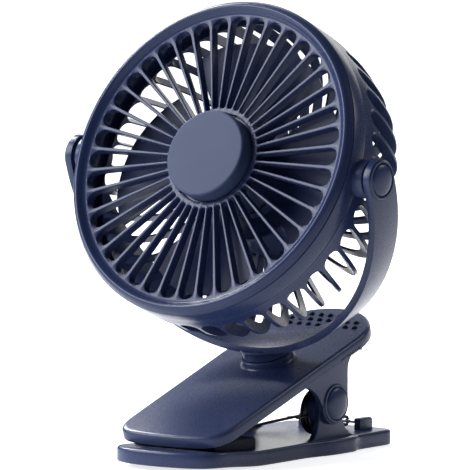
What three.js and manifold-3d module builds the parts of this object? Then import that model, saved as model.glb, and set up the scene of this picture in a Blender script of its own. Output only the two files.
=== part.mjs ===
// Clip fan: a round tilting fan head in a U-shaped yoke, on a sprung clip with two long jaws.
// Millimetres, +Z up. The origin is the middle of the underside of the lower jaw.
// The fan blows towards -Y, which is also the mouth end of the clip; X runs across the clip.
import * as THREE from 'three';
import { mergeVertices } from 'three/addons/utils/BufferGeometryUtils.js';
import Module from 'manifold-3d';

const wasm = await Module();
wasm.setup();

// ---------------------------------------------------------------- driving dimensions (mm, degrees)
const GAP = 0.3; // clearance between pieces that seat on or turn in each other

// lower jaw
const BASE_FRONT_Y = -70.0; // middle of the curved front edge
const BASE_TAIL_Y = 70.0; // rear end of the tail
const BASE_T = 6.8; // thickness
const BASE_FRONT_HALF = 27.6; // half width at the mouth
const BASE_SWELL = 2.1; // how far it stands out past the upper jaw's cheeks at the hinge
const SWELL_FRONT = 22.6; // the swell starts this far ahead of the hinge axis
const SWELL_REAR = 22.0; // and ends this far behind it
const BASE_TAIL_HALF = 28.0; // half width of the tail
const BASE_BOW = 4.5; // how far the front edge bows out ahead of its corners
const BASE_CORNER = 12.0; // front corner radius
const TAIL_CORNER = 6.0;
const TOE_LIFT = 2.0; // the front turns up towards the nose of the upper jaw
const TOE_REAR_Y = -24.0; // where the turn starts
const TOE_FRONT_Y = -60.0; // and where it is level again
const TOE_STEPS = 8;
const SOLE_HALF = 19.0; // anti-slip sole let into the underside
const SOLE_FRONT = 2.0; // gap between the turned-up toe and the sole
const SOLE_REAR = 18.0; // gap between the sole and the rear end of the tail
const SOLE_T = 1.0;
const SOLE_CORNER = 6.0;
const LUG_IN_X = 15.8; // the lug on the +X side of the tail that holds the spring rod
const FAR_LUG_IN_X = 11.4; // the lug on the other side
const LUG_W = 3.2;
const LUG_FRONT_Y = 56.0;
const LUG_LEN = 9.5;
const LUG_H = 5.1;
const LUG_CHAMFER = 1.2;
const ROD_R = 0.8;
const ROD_IN_LUG = 2.3; // rod centre behind the front of the lugs
const ROD_RISE = 3.3; // rod centre above the top of the lower jaw
const ROD_BITE = 2.0; // how deep the rod sits in the +X lug
const ROD_FAR_X = 22.0; // the rod runs through the other lug and stands out to here

// hinge between the jaws
const HINGE_Y = 24.8;
const HINGE_Z = 22.4;
const LOBE_R = 9.3; // round end of each cheek
const EAR_R = 8.0; // round end of each ear of the lower jaw
const EAR_T = 2.9;
const EAR_FRONT = 12.6; // ear foot ahead of the hinge axis
const EAR_REAR = 17.0; // ear foot behind the hinge axis
const EAR_WAIST = 9.4; // half width of the ear above its foot
const CHEEK_T = 2.4; // its outer face is flush with the side of the plate
const CHEEK_ARCH_R = 16.0; // arch at the front of each cheek
const CHEEK_ARCH_Y = 24.5; // its centre, ahead of the hinge axis
const CHEEK_ARCH_Z = 6.9; // and below it
const CHEEK_FILLET = 8.0; // round at the rear, under the plate
const PIN_R = 3.0;
const DOME_R = 7.25; // hinge and tilt caps
const DOME_H = 2.2;
const RING_W = 1.0; // raised border round each cap
const RING_H = 0.8;

// upper jaw: a sloping plate with two cheeks
const JAW_SLOPE = 18.33; // degrees, rising to the rear
const SWIVEL_Y = 13.96; // where the swivel axis meets the plate's top face
const SWIVEL_Z = 40.35;
const PLATE_T = 5.6;
const PLATE_HALF = 28.7;
const PLATE_FRONT = 81.1; // along the slope, swivel axis to nose
const PLATE_REAR = 57.5; // along the slope, swivel axis to rear end
const NOSE_BOW = 2.2; // how far the nose bows out ahead of its corners
const NOSE_CORNER = 13.0;
const POCKET_WALL = 3.4; // plate edge left round the hollow that the jaw cover closes
const POCKET_FRONT = 40.0;
const SKIN_T = 1.8; // plate wall over the hollow
const COVER_T = 1.4;
const COLLAR_R = 11.5; // low round seat for the yoke
const COLLAR_H = 3.2;
const CUP_R = 12.5; // housing for the swivel screw, under the plate
const CUP_WALL = 1.4;
const CUP_DROP = 7.0;
const POST_R = 2.4;
const SCREW_R = 1.0; // small fixing screws
const SCREW_HEAD_R = 1.9;
const SCREW_HEAD_T = 0.8;

// grips
const STUD_R = 1.05; // soft studs on the rear handle
const STUD_RISE = 1.1;
const STUD_PITCH = 5.0;
const STUD_FRONT = 38.5; // along the slope, swivel axis to the first row
const STUD_ROWS = 4;
const STUD_SHEET_T = 0.6;
const PAD_HALF = 22.0;
const PAD_FRONT_Y = -54.0;
const PAD_REAR_Y = -25.0;
const PAD_TOP_Y = -47.0; // where the lower pad stops following the upper jaw
const PAD_ROUND = 2.2; // rounded upper rear edge of the pad
const UPPER_PAD_T = 1.2;
const PAD_GROOVES = 11;
const PAD_GROOVE_DEPTH = 0.7;

// torsion springs
const WIRE_R = 0.7;
const COIL_R = 9.7; // to the middle of the wire
const COIL_AHEAD = 1.3; // coil axis ahead of the hinge axis
const COIL_DROP = 3.8; // and below it
const COIL_SIDE = 0.35; // outer turn to the ear
const COIL_PITCH = 1.95;
const COIL_TURNS = 2; // whole turns past the first quarter
const COIL_START = 196; // degrees round the axis, 180 is the mouth side
const CURL_STEPS = 8;
const WIRE_SIDES = 5;
const WIRE_BEND = 1.6; // bend between the front leg and the coil
const FRONT_LEG = 7.3;
const HOOK_X = 9.5;
const SPRING_BOSS_R = 7.9; // round boss inside each coil
const SPRING_BOSS_LEN = 6.1; // it stands this far in from the ear

// yoke
const yokeROOM = 9.9; // head's rim to the outer face of the band
const YOKE_DROP = 2.5; // centre of that radius below the tilt axis
const YOKE_T = 3.2;
const YOKE_HALF = 9.2; // half width of the band
const YOKE_STAND = 7.2; // yoke band to the top of the upper jaw's plate
const STEM_R = 10.5;
const TILT_BOSS_R = 8.6; // round bosses on the sides of the head
const TILT_SEAT = 1.2; // wall under the head of each tilt screw
const TILT_SCREW_R = 2.0;
const TILT_SCREW_LEN = 8.6;
const TILT_HEAD_R = 4.2;
const TILT_HEAD_T = 1.0;
const WASHER_T = 0.8;
const TILT_WASHER_R = 7.6;
const SWIVEL_SCREW_R = 2.5;
const SWIVEL_HEAD_R = 5.5;
const SWIVEL_HEAD_T = 2.6;
const SWIVEL_WASHER_R = 7.5;

// fan head, in its own frame: +Z out of the face, origin on the tilt axis
const HEAD_TILT = 24.65; // degrees that the face looks up
const RIM_R = 72.5;
const FACE_Z = 13.0; // front of the ribs, ahead of the tilt axis
const CROWN_H = 2.6; // rim bead above the ribs
const RIM_LIP = 0.6; // rim edge behind the front of the ribs
const RIB_COUNT = 40;
const RIB_DEPTH = 4.5;
const RIB_IN_W = 1.1;
const RIB_OUT_W = 1.8;
const RIM_W = 7.3; // rim to the outer ends of the slots
const SLOT_END_R = 3.6; // rounding at the outer end of each slot
const HUB_RING_R = 22.6;
const HUB_RING_W = 2.0;
const HUB_WEB_T = 1.5;
const DISC_R = 19.7;
const DISC_RISE = 6.5;
const DISC_T = 1.8;
const GROOVE_W = 0.8; // dark line between grille and shell
const SHELL_T = 2.2;
const SHELL_LEN = 9.0;
const BAND_LEN = 4.9;
const BAND_STEP = 0.2; // rear band inside the shell's line
const REAR_DEPTH = 44.6; // back of the basket, behind the tilt axis
const REAR_RIB_W = 2.0;
const REAR_RIB_T = 5.0;
// line of the basket's back: how far in from the rim, and the share of its depth
const REAR_CURVE = [[1.8, 0.426], [6.0, 0.729], [14.0, 0.9], [27.0, 0.9865]];
const REAR_LEAN = 12.0; // degrees that the rear ribs lean off straight
const POD_R = 26.0; // round housing in the middle of the back
const POD_T = 1.8;
const POD_FLOOR_Z = -23.0;
const POD_RIM = 0.6; // pod edge behind the ribs
const LID_T = 2.2;
const LID_SPIGOT = 0.6;
const POD_POST_R = 2.1;
const LID_SCREW_LEN = 6.0;
const MOTOR_R = 13.5;
const MOTOR_LEN = 17.0;
const MOTOR_SEAT_H = 4.0;
const MOTOR_SEAT_WALL = 1.6;
const SHAFT_R = 1.5;
const SHAFT_IN = 6.0; // depth of the motor behind the shaft's end
const SHAFT_OUT = 2.2; // shaft ahead of the impeller's hub
const TIP_ROOM = 14.5; // blade tips to the rim
const FAN_HUB_R = 17.5;
const FAN_HUB_WALL = 1.8;
const FAN_HUB_FACE = 2.6;
const FAN_SLEEVE_R = 4.0;
const FAN_FRONT_Z = 5.0;
const FAN_REAR_Z = -13.0;
const BLADE_COUNT = 4;
const BLADE_SPAN = 72; // degrees that a blade covers at its tip
const BLADE_AT = 87; // degrees round the face, middle of the first blade
const BLADE_T = 1.6;
const BLADE_RISE = 6.8; // half the height that a blade climbs at its root
const BLADE_CUT = 5.0; // rounding of a blade's trailing tip corner
const NUT_R = 3.4;
const NUT_T = 1.6;
const BUTTON_R = 6.0;
const BUTTON_FLANGE = 1.2;
const BUTTON_RISE = 1.0;
const LENS_R = 1.0;
const LENS_Y = 12.0;
const BATTERY = [30, 34, 7];
const BOARD_R = 17.4;
const BOARD_T = 1.2;
const BOARD_STAND = 2.8; // board ahead of the pod's edge
const PORT = [9.0, 3.2, 7.4];
const PORT_Y = -13.0; // it opens in the lid, across from the lens
const PORT_SINK = 0.4; // behind the lid's face
const PORT_WALL = 0.4;

// ---------------------------------------------------------------- sizes that follow from these
const cheekOutX = PLATE_HALF;
const cheekInX = cheekOutX - CHEEK_T;
const earOutX = cheekInX - GAP;
const earInX = earOutX - EAR_T;
const coilOutX = earInX - WIRE_R - COIL_SIDE; // outer turn, to the middle of the wire
const springBossInX = earInX - SPRING_BOSS_LEN;
const baseHingeHalf = cheekOutX + BASE_SWELL;
const yokeR = RIM_R + yokeROOM; // outer radius of the yoke's band
const slotOutR = RIM_R - RIM_W;
const fanTipR = RIM_R - TIP_ROOM;

// ---------------------------------------------------------------- materials
const paint = (color, roughness, metalness = 0) =>
  new THREE.MeshStandardMaterial({ color, roughness, metalness });
const NAVY = paint(0x35405f, 0.42);
const NAVY_DISC = paint(0x46517a, 0.5);
const DARK = paint(0x1b2033, 0.55);
const RUBBER = paint(0x15171d, 0.85);
const STEEL = paint(0xb9bdc4, 0.3, 1.0);
const BLACK_STEEL = paint(0x17181b, 0.38, 0.9);
const BOARD_GREEN = paint(0x1d5a3c, 0.6);
const CELL_WRAP = paint(0x8d98a8, 0.45, 0.3);
const LENS = paint(0xdfe8f2, 0.2);

// ---------------------------------------------------------------- helpers
const rad = THREE.MathUtils.degToRad;
const polar = (r, a) => [r * Math.cos(a), r * Math.sin(a)];

/** Merges a geometry to shared vertices, drops slivers, and turns its faces outwards. */
function closed(source) {
  const geo = source.clone();
  for (const name of Object.keys(geo.attributes)) if (name !== 'position') geo.deleteAttribute(name);
  const merged = mergeVertices(geo, 1e-4);
  const pos = merged.attributes.position;
  const faces = [];
  let volume = 0;
  const [a, b, c] = [new THREE.Vector3(), new THREE.Vector3(), new THREE.Vector3()];
  for (let i = 0; i < merged.index.count; i += 3) {
    const f = [0, 1, 2].map((k) => merged.index.getX(i + k));
    if (f[0] === f[1] || f[1] === f[2] || f[2] === f[0]) continue;
    a.fromBufferAttribute(pos, f[0]);
    b.fromBufferAttribute(pos, f[1]);
    c.fromBufferAttribute(pos, f[2]);
    volume += a.dot(b.cross(c));
    faces.push(f);
  }
  merged.setIndex(faces.flatMap((f) => (volume < 0 ? [f[0], f[2], f[1]] : f)));
  return merged;
}

/** A solid for joining and cutting. */
function solid(geometry) {
  const geo = closed(geometry);
  return new wasm.Manifold(new wasm.Mesh({
    numProp: 3,
    vertProperties: new Float32Array(geo.attributes.position.array),
    triVerts: new Uint32Array(geo.index.array),
  }));
}

/** The geometry of a joined or cut solid. */
function geometryOf(body) {
  const mesh = body.getMesh();
  const geo = new THREE.BufferGeometry();
  geo.setAttribute('position', new THREE.BufferAttribute(new Float32Array(mesh.vertProperties), 3));
  geo.setIndex(Array.from(mesh.triVerts));
  return geo;
}

const join = (first, ...others) => others.reduce((sum, next) => sum.add(next), first);
const cut = (first, ...others) => others.reduce((rest, next) => rest.subtract(next), first);

/** Turns a closed outline of [radius, z] points about Z. */
function revolve(outline, segments = 32) {
  const pts = [...outline, outline[0]].map(([r, z]) => new THREE.Vector2(r, z));
  return new THREE.LatheGeometry(pts, segments).rotateX(Math.PI / 2);
}

/** A round bar or tube along Z from z0 to z1. */
function bar(radius, z0, z1, segments = 24, bore = 0) {
  return revolve([[bore, z0], [radius, z0], [radius, z1], [bore, z1]], segments);
}

/** The same bar laid along X. */
const barX = (radius, x0, x1, segments = 24, bore = 0) =>
  bar(radius, x0, x1, segments, bore).rotateY(Math.PI / 2);

/** A block between two corners. */
function block([x0, y0, z0], [x1, y1, z1]) {
  return new THREE.BoxGeometry(x1 - x0, y1 - y0, z1 - z0)
    .translate((x0 + x1) / 2, (y0 + y1) / 2, (z0 + z1) / 2);
}

/** An outline of [x, y] points, or a Shape, raised from z0 to z1. */
function prism(outline, z0, z1, curveSegments = 8) {
  const shape = outline instanceof THREE.Shape
    ? outline : new THREE.Shape(outline.map(([x, y]) => new THREE.Vector2(x, y)));
  return new THREE.ExtrudeGeometry(shape, { depth: z1 - z0, bevelEnabled: false, curveSegments })
    .translate(0, 0, z0);
}

/** An outline of [y, z] points raised along X from x0 to x1. */
const prismX = (outline, x0, x1, curveSegments = 8) => prism(outline, x0, x1, curveSegments)
  .applyMatrix4(new THREE.Matrix4().makeBasis(
    new THREE.Vector3(0, 1, 0), new THREE.Vector3(0, 0, 1), new THREE.Vector3(1, 0, 0)));

/** A closed body from rings of points, each ring with the same count, capped at both ends. */
function loft(rings) {
  const n = rings[0].length;
  const index = [];
  for (let i = 0; i + 1 < rings.length; i++) {
    for (let j = 0; j < n; j++) {
      const [a, b] = [i * n + j, i * n + ((j + 1) % n)];
      index.push(a, b, b + n, a, b + n, a + n);
    }
  }
  const last = (rings.length - 1) * n;
  for (let lo = 0, hi = n - 1; lo + 1 < hi; lo++, hi--) {
    index.push(lo, hi, lo + 1, last + lo, last + lo + 1, last + hi);
    if (lo + 1 === hi - 1) continue;
    index.push(lo + 1, hi, hi - 1, last + lo + 1, last + hi - 1, last + hi);
  }
  const geo = new THREE.BufferGeometry();
  geo.setAttribute('position', new THREE.Float32BufferAttribute(rings.flat().flat(), 3));
  geo.setIndex(index);
  return closed(geo);
}

/** A round tube along a list of points, with flat ends. */
function tube(path, radius, sides) {
  const up = new THREE.Vector3(1, 0, 0);
  const rings = path.map((p, i) => {
    const before = path[Math.max(i - 1, 0)];
    const after = path[Math.min(i + 1, path.length - 1)];
    const along = new THREE.Vector3().subVectors(after, before).normalize();
    up.addScaledVector(along, -up.dot(along)).normalize();
    const side = new THREE.Vector3().crossVectors(along, up);
    return Array.from({ length: sides }, (_, k) => {
      const a = (2 * Math.PI * k) / sides;
      return p.clone().addScaledVector(up, radius * Math.cos(a))
        .addScaledVector(side, radius * Math.sin(a)).toArray();
    });
  });
  return loft(rings);
}

/** A low dome on a flat round foot, along +X. */
function domeX(radius, x0, height) {
  const outline = [[0, x0], [radius, x0], [radius, x0 + height * 0.3], [radius * 0.9, x0 + height * 0.6],
    [radius * 0.55, x0 + height * 0.92], [0, x0 + height]];
  return revolve(outline, 20).rotateY(Math.PI / 2);
}

/** A screw along -Z with its head's underside at z = 0. */
function screw(shankR, headR, headT, length) {
  return revolve([[0, -length], [shankR, -length], [shankR, 0], [headR, 0],
    [headR * 0.8, headT], [0, headT]], 10);
}

const mirrorX = (geometry) => closed(geometry.clone().scale(-1, 1, 1));

function piece(parent, name, geometry, material) {
  const mesh = new THREE.Mesh(geometry, material);
  mesh.name = name;
  parent.add(mesh);
  return mesh;
}

/** Adds a piece and its mirror image on the -X side. */
function pair(parent, name, geometry, material) {
  piece(parent, `${name}_right`, geometry, material);
  piece(parent, `${name}_left`, mirrorX(geometry), material);
}

// ---------------------------------------------------------------- frames
const fan = new THREE.Group();
const slope = rad(JAW_SLOPE);

/** Upper jaw frame: origin where the swivel axis meets the plate, +Y up the slope, +Z off it. */
const jawFrame = new THREE.Group();
jawFrame.position.set(0, SWIVEL_Y, SWIVEL_Z);
jawFrame.rotation.x = slope;

/** Yoke frame: as the jaw's, with its origin on the tilt axis. */
const yokeFrame = new THREE.Group();
const tiltRise = YOKE_DROP + yokeR + YOKE_STAND;
yokeFrame.position.set(0, 0, tiltRise);

/** Head frame: origin on the tilt axis, +Z out of the face. */
const headFrame = new THREE.Group();
headFrame.rotation.x = rad(90 - HEAD_TILT) - slope;

fan.add(jawFrame);
jawFrame.add(yokeFrame);
yokeFrame.add(headFrame);

/** Height of the plate's top face over a world Y. */
const plateTop = (y) => SWIVEL_Z + (y - SWIVEL_Y) * Math.tan(slope);
const plateUnder = (y) => plateTop(y) - PLATE_T / Math.cos(slope);

// ---------------------------------------------------------------- lower jaw
/** How far the lower jaw is turned up at a given Y. */
function toeLift(y) {
  const share = THREE.MathUtils.clamp((TOE_REAR_Y - y) / (TOE_REAR_Y - TOE_FRONT_Y), 0, 1);
  return TOE_LIFT * share * share * (3 - 2 * share);
}

/** The bend of the toe from a rear Y to a front Y, raised by a height, as [y, z] points. */
function toeLine(rearY, frontY, height) {
  const step = (TOE_FRONT_Y - TOE_REAR_Y) / TOE_STEPS;
  const bends = Array.from({ length: TOE_STEPS + 1 }, (_, k) => TOE_REAR_Y + k * step);
  const inside = bends.filter((y) => y < rearY && y > frontY);
  return [rearY, ...inside, frontY].map((y) => [y, toeLift(y) + height]);
}

function baseOutline() {
  const s = new THREE.Shape();
  const cornerY = BASE_FRONT_Y + BASE_BOW;
  const cornerX = BASE_FRONT_HALF - BASE_CORNER * 0.6;
  s.moveTo(0, BASE_FRONT_Y);
  s.quadraticCurveTo(cornerX * 0.7, BASE_FRONT_Y, cornerX, cornerY - 1);
  s.quadraticCurveTo(BASE_FRONT_HALF, cornerY + 2, BASE_FRONT_HALF, cornerY + BASE_CORNER);
  const ahead = (share) => HINGE_Y - SWELL_FRONT * share;
  const behind = (share) => HINGE_Y + SWELL_REAR * share;
  s.lineTo(BASE_FRONT_HALF, ahead(1));
  s.bezierCurveTo(BASE_FRONT_HALF, ahead(0.53), baseHingeHalf, ahead(0.35), baseHingeHalf, behind(0.09));
  s.lineTo(baseHingeHalf, behind(0.41));
  s.bezierCurveTo(baseHingeHalf, behind(0.73), BASE_TAIL_HALF, behind(0.64), BASE_TAIL_HALF, behind(1));
  s.lineTo(BASE_TAIL_HALF, BASE_TAIL_Y - TAIL_CORNER);
  s.quadraticCurveTo(BASE_TAIL_HALF, BASE_TAIL_Y, BASE_TAIL_HALF - TAIL_CORNER, BASE_TAIL_Y);
  const right = s.getPoints(5).map((p) => [p.x, p.y]);
  const left = right.slice(1).reverse().map(([x, y]) => [-x, y]);
  return [...right, ...left];
}

/** Rounded rectangle outline with its corners cut by arcs. */
function roundedRect(half, y0, y1, corner, steps = 3) {
  const pts = [];
  const corners = [[half, y0, -90], [half, y1, 0], [-half, y1, 90], [-half, y0, 180]];
  for (const [x, y, start] of corners) {
    const cx = x - Math.sign(x) * corner;
    const cy = y === y0 ? y0 + corner : y1 - corner;
    for (let k = 0; k <= steps; k++) {
      const [dx, dy] = polar(corner, rad(start + (90 * k) / steps));
      pts.push([cx + dx, cy + dy]);
    }
  }
  return pts;
}

const coilY = HINGE_Y - COIL_AHEAD;
const coilZ = HINGE_Z - COIL_DROP;
const rodY = LUG_FRONT_Y + ROD_IN_LUG;
const rodZ = BASE_T + ROD_RISE;
const rodEndX = LUG_IN_X + ROD_BITE;

/** Upright ear with the boss that the spring winds round, bored for the hinge pin. */
function ear() {
  const outline = [[HINGE_Y - EAR_FRONT, BASE_T - 1], [HINGE_Y - EAR_FRONT, BASE_T + 1],
    [HINGE_Y - EAR_WAIST, BASE_T + 5]];
  for (let k = 0; k <= 8; k++) {
    const [dy, dz] = polar(EAR_R, rad(190 - (200 * k) / 8));
    outline.push([HINGE_Y + dy, HINGE_Z + dz]);
  }
  outline.push([HINGE_Y + EAR_WAIST, BASE_T + 6], [HINGE_Y + EAR_REAR - 4, BASE_T + 1.5],
    [HINGE_Y + EAR_REAR, BASE_T - 1]);
  const boss = barX(SPRING_BOSS_R, springBossInX, earInX + 1, 20).translate(0, coilY, coilZ);
  const bore = barX(PIN_R + GAP, springBossInX - 1, earOutX + 1, 16).translate(0, HINGE_Y, HINGE_Z);
  return cut(join(solid(prismX(outline, earInX, earOutX)), solid(boss)), solid(bore));
}

/** Lug for the end of the rod, bored as far as a given X. */
function lug(inX, boreX) {
  const rear = LUG_FRONT_Y + LUG_LEN;
  const top = BASE_T + LUG_H;
  const outline = [[LUG_FRONT_Y, BASE_T - 1], [LUG_FRONT_Y, top], [rear - LUG_CHAMFER, top],
    [rear, top - LUG_CHAMFER], [rear, BASE_T - 1]];
  const hole = barX(ROD_R + GAP, inX - 1, boreX, 10).translate(0, rodY, rodZ);
  return cut(solid(prismX(outline, inX, inX + LUG_W)), solid(hole));
}

function buildLowerJaw() {
  const reach = 2 * BASE_T; // past the slab on every side, for the tools that shape it
  const side = [...toeLine(BASE_TAIL_Y + reach, BASE_FRONT_Y - reach, 0),
    ...toeLine(BASE_TAIL_Y + reach, BASE_FRONT_Y - reach, BASE_T).reverse()];
  const slab = solid(prism(baseOutline(), -reach, TOE_LIFT + reach))
    .intersect(solid(prismX(side, -baseHingeHalf - reach, baseHingeHalf + reach)));
  const soleShape = (grow) => roundedRect(
    SOLE_HALF + grow, TOE_REAR_Y + SOLE_FRONT - grow, BASE_TAIL_Y - SOLE_REAR + grow, SOLE_CORNER);
  const recess = solid(prism(soleShape(GAP), -1, SOLE_T + GAP));
  const flipped = (s) => solid(mirrorX(geometryOf(s)));
  const farLug = flipped(lug(FAR_LUG_IN_X, FAR_LUG_IN_X + LUG_W + 1));
  const raised = [ear(), flipped(ear()), lug(LUG_IN_X, rodEndX + GAP), farLug];
  piece(fan, 'lower_jaw', geometryOf(join(cut(slab, recess), ...raised)), NAVY);
  piece(fan, 'jaw_sole', closed(prism(soleShape(0), 0, SOLE_T)), RUBBER);
  piece(fan, 'spring_rod', closed(barX(ROD_R, -ROD_FAR_X, rodEndX, 10).translate(0, rodY, rodZ)), STEEL);
}

/** Soft wedge in the mouth: its top follows the upper jaw and is grooved across. */
function buildLowerPad() {
  const clear = (GAP + UPPER_PAD_T + GAP) / Math.cos(slope);
  const top = (y) => plateUnder(Math.min(y, PAD_TOP_Y)) - clear;
  const foot = BASE_T + GAP / 3;
  const crest = top(PAD_TOP_Y);
  const outline = [...toeLine(PAD_REAR_Y, PAD_FRONT_Y, foot).reverse(), [PAD_REAR_Y, crest - PAD_ROUND],
    [PAD_REAR_Y - PAD_ROUND, crest], [PAD_TOP_Y, crest], [PAD_FRONT_Y, top(PAD_FRONT_Y)]];
  const pitch = (PAD_REAR_Y - PAD_ROUND - PAD_FRONT_Y) / PAD_GROOVES;
  const grooves = Array.from({ length: PAD_GROOVES }, (_, k) => {
    const y = PAD_FRONT_Y + (k + 0.5) * pitch;
    const depth = Math.min(PAD_GROOVE_DEPTH, (top(y) - foot - toeLift(y)) * 0.35);
    return solid(block([-PAD_HALF - 1, y, top(y) - depth], [PAD_HALF + 1, y + pitch * 0.4, crest + 1]));
  });
  piece(fan, 'lower_pad', geometryOf(cut(solid(prismX(outline, -PAD_HALF, PAD_HALF)), ...grooves)), RUBBER);
}

// ---------------------------------------------------------------- springs
/** Right-hand torsion spring: front leg, turns, rear leg and the hook over the rod. */
function springPath() {
  const pts = [];
  const at = (x, y, z) => pts.push(new THREE.Vector3(x, y, z));
  const [startY, startZ] = polar(COIL_R, rad(COIL_START));
  const legY = coilY + startY - WIRE_BEND;
  const legZ = coilZ + startZ + WIRE_BEND;
  at(coilOutX, legY - FRONT_LEG, legZ);
  at(coilOutX, legY, legZ);
  at(coilOutX, legY + WIRE_BEND * 0.7, legZ - WIRE_BEND * 0.3);
  const sweep = 270 - COIL_START + 360 * COIL_TURNS;
  const steps = Math.round((sweep / 360) * CURL_STEPS);
  for (let k = 0; k <= steps; k++) {
    const turned = (sweep * k) / steps;
    const [dy, dz] = polar(COIL_R, rad(COIL_START + turned));
    at(coilOutX - (COIL_PITCH * turned) / 360, coilY + dy, coilZ + dz);
  }
  const inX = coilOutX - (COIL_PITCH * sweep) / 360;
  const hookR = ROD_R + GAP + WIRE_R;
  const hookZ = rodZ + hookR;
  const lowZ = coilZ - COIL_R;
  const mix = THREE.MathUtils.lerp;
  at(inX - 0.6, coilY + 5, lowZ + 0.1);
  for (const t of [0.35, 0.7]) at(mix(inX, HOOK_X, t), mix(coilY, rodY, t), mix(lowZ, hookZ, t));
  at(HOOK_X, rodY - 3.5, hookZ - 0.1);
  for (let a = 90; a >= -135; a -= 45) {
    const [dy, dz] = polar(hookR, rad(a));
    at(HOOK_X, rodY + dy, rodZ + dz);
  }
  return pts;
}

/** Least clear distance between parts of a wire that are not next to each other along it. */
function leastGap(path, radius) {
  const fine = new THREE.CurvePath();
  path.slice(1).forEach((p, i) => fine.add(new THREE.LineCurve3(path[i], p)));
  const spots = fine.getSpacedPoints(path.length * 8);
  let run = 0;
  const along = spots.map((p, i) => (run += i ? p.distanceTo(spots[i - 1]) : 0));
  let least = Infinity;
  for (let i = 0; i < spots.length; i++) {
    for (let j = i + 1; j < spots.length; j++) {
      if (along[j] - along[i] > 8 * radius) least = Math.min(least, spots[i].distanceTo(spots[j]));
    }
  }
  return least - 2 * radius;
}

function buildSprings() {
  const path = springPath();
  console.log(`spring: least gap to itself ${leastGap(path, WIRE_R).toFixed(2)} mm`);
  pair(fan, 'spring', tube(path, WIRE_R, WIRE_SIDES), BLACK_STEEL);
}

// ---------------------------------------------------------------- upper jaw
function plateOutline() {
  const s = new THREE.Shape();
  const cornerY = -PLATE_FRONT + NOSE_BOW;
  const cornerX = PLATE_HALF - NOSE_CORNER * 0.6;
  s.moveTo(0, -PLATE_FRONT);
  s.quadraticCurveTo(cornerX * 0.7, -PLATE_FRONT, cornerX, cornerY - 0.4);
  s.quadraticCurveTo(PLATE_HALF, cornerY + 1.5, PLATE_HALF, cornerY + NOSE_CORNER);
  s.lineTo(PLATE_HALF, PLATE_REAR - PLATE_HALF);
  s.absarc(0, PLATE_REAR - PLATE_HALF, PLATE_HALF, 0, Math.PI / 2, false);
  const right = s.getPoints(7).map((p) => [p.x, p.y]);
  const left = right.slice(1, -1).reverse().map(([x, y]) => [-x, y]);
  return [...right, ...left];
}

/** Side wall that carries the hinge, in world Y and Z. */
function cheek() {
  const into = (y) => [y, plateUnder(y) + PLATE_T * 0.4];
  const archY = HINGE_Y - CHEEK_ARCH_Y;
  const archZ = HINGE_Z - CHEEK_ARCH_Z;
  const outline = [into(archY)];
  for (let k = 0; k <= 5; k++) {
    const [dy, dz] = polar(CHEEK_ARCH_R, rad(90 - 13 * k));
    outline.push([archY + dy, archZ + dz]);
  }
  for (let k = 0; k <= 8; k++) {
    const [dy, dz] = polar(LOBE_R, rad(180 + 22.5 * k));
    outline.push([HINGE_Y + dy, HINGE_Z + dz]);
  }
  const filletZ = plateUnder(HINGE_Y + LOBE_R) - CHEEK_FILLET * 0.6;
  for (let k = 0; k <= 4; k++) {
    const [dy, dz] = polar(CHEEK_FILLET, rad(180 - 27 * k));
    outline.push([HINGE_Y + LOBE_R + CHEEK_FILLET + dy, filletZ + dz]);
  }
  outline.push(into(HINGE_Y + LOBE_R + CHEEK_FILLET * 1.3));
  const place = (g) => solid(g.translate(0, HINGE_Y, HINGE_Z));
  const wall = solid(prismX(outline, cheekInX, cheekOutX));
  const border = place(barX(DOME_R + GAP + RING_W, cheekOutX - 1, cheekOutX + RING_H, 24, DOME_R + GAP));
  const bore = place(barX(PIN_R + GAP, cheekInX - 1, cheekOutX + 2, 16));
  return cut(join(wall, border), bore);
}

/** World to jaw frame, for pieces drawn in world Y and Z. */
const toJaw = new THREE.Matrix4().makeRotationX(-slope)
  .multiply(new THREE.Matrix4().makeTranslation(0, -SWIVEL_Y, -SWIVEL_Z));

const handleY = PLATE_REAR - PLATE_HALF; // centre of the handle's round end
const pocketHalf = PLATE_HALF - POCKET_WALL;

/** Outline of the hollow under the plate, drawn in all round by an inset. */
function pocketOutline(inset) {
  const s = new THREE.Shape();
  const half = pocketHalf - inset;
  s.moveTo(-half, -POCKET_FRONT + inset);
  s.lineTo(half, -POCKET_FRONT + inset);
  s.absarc(0, handleY, half, 0, Math.PI, false);
  return s.getPoints(10).map((p) => [p.x, p.y]);
}

/** Centres of the soft studs on the rear handle, rows set half a pitch apart. */
function studCentres() {
  const out = [];
  const edge = pocketHalf - 2 * GAP - STUD_R;
  for (let row = 0; row < STUD_ROWS; row++) {
    const y = STUD_FRONT + row * STUD_PITCH;
    const room = Math.sqrt(Math.max(edge ** 2 - (y - handleY) ** 2, 0));
    const shift = row % 2 ? STUD_PITCH / 2 : 0;
    for (let k = -6; k <= 6; k++) {
      const x = k * STUD_PITCH + shift;
      if (Math.abs(x) <= room) out.push([x, y]);
    }
  }
  return out;
}

const coverSpots = [[-1, -1], [1, -1], [-1, 1], [1, 1]].map(([sx, sy]) => [
  sx * (pocketHalf - POST_R - 1.6), sy < 0 ? -POCKET_FRONT + POST_R + 1.6 : STUD_FRONT - STUD_R - POST_R - 2]);

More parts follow.
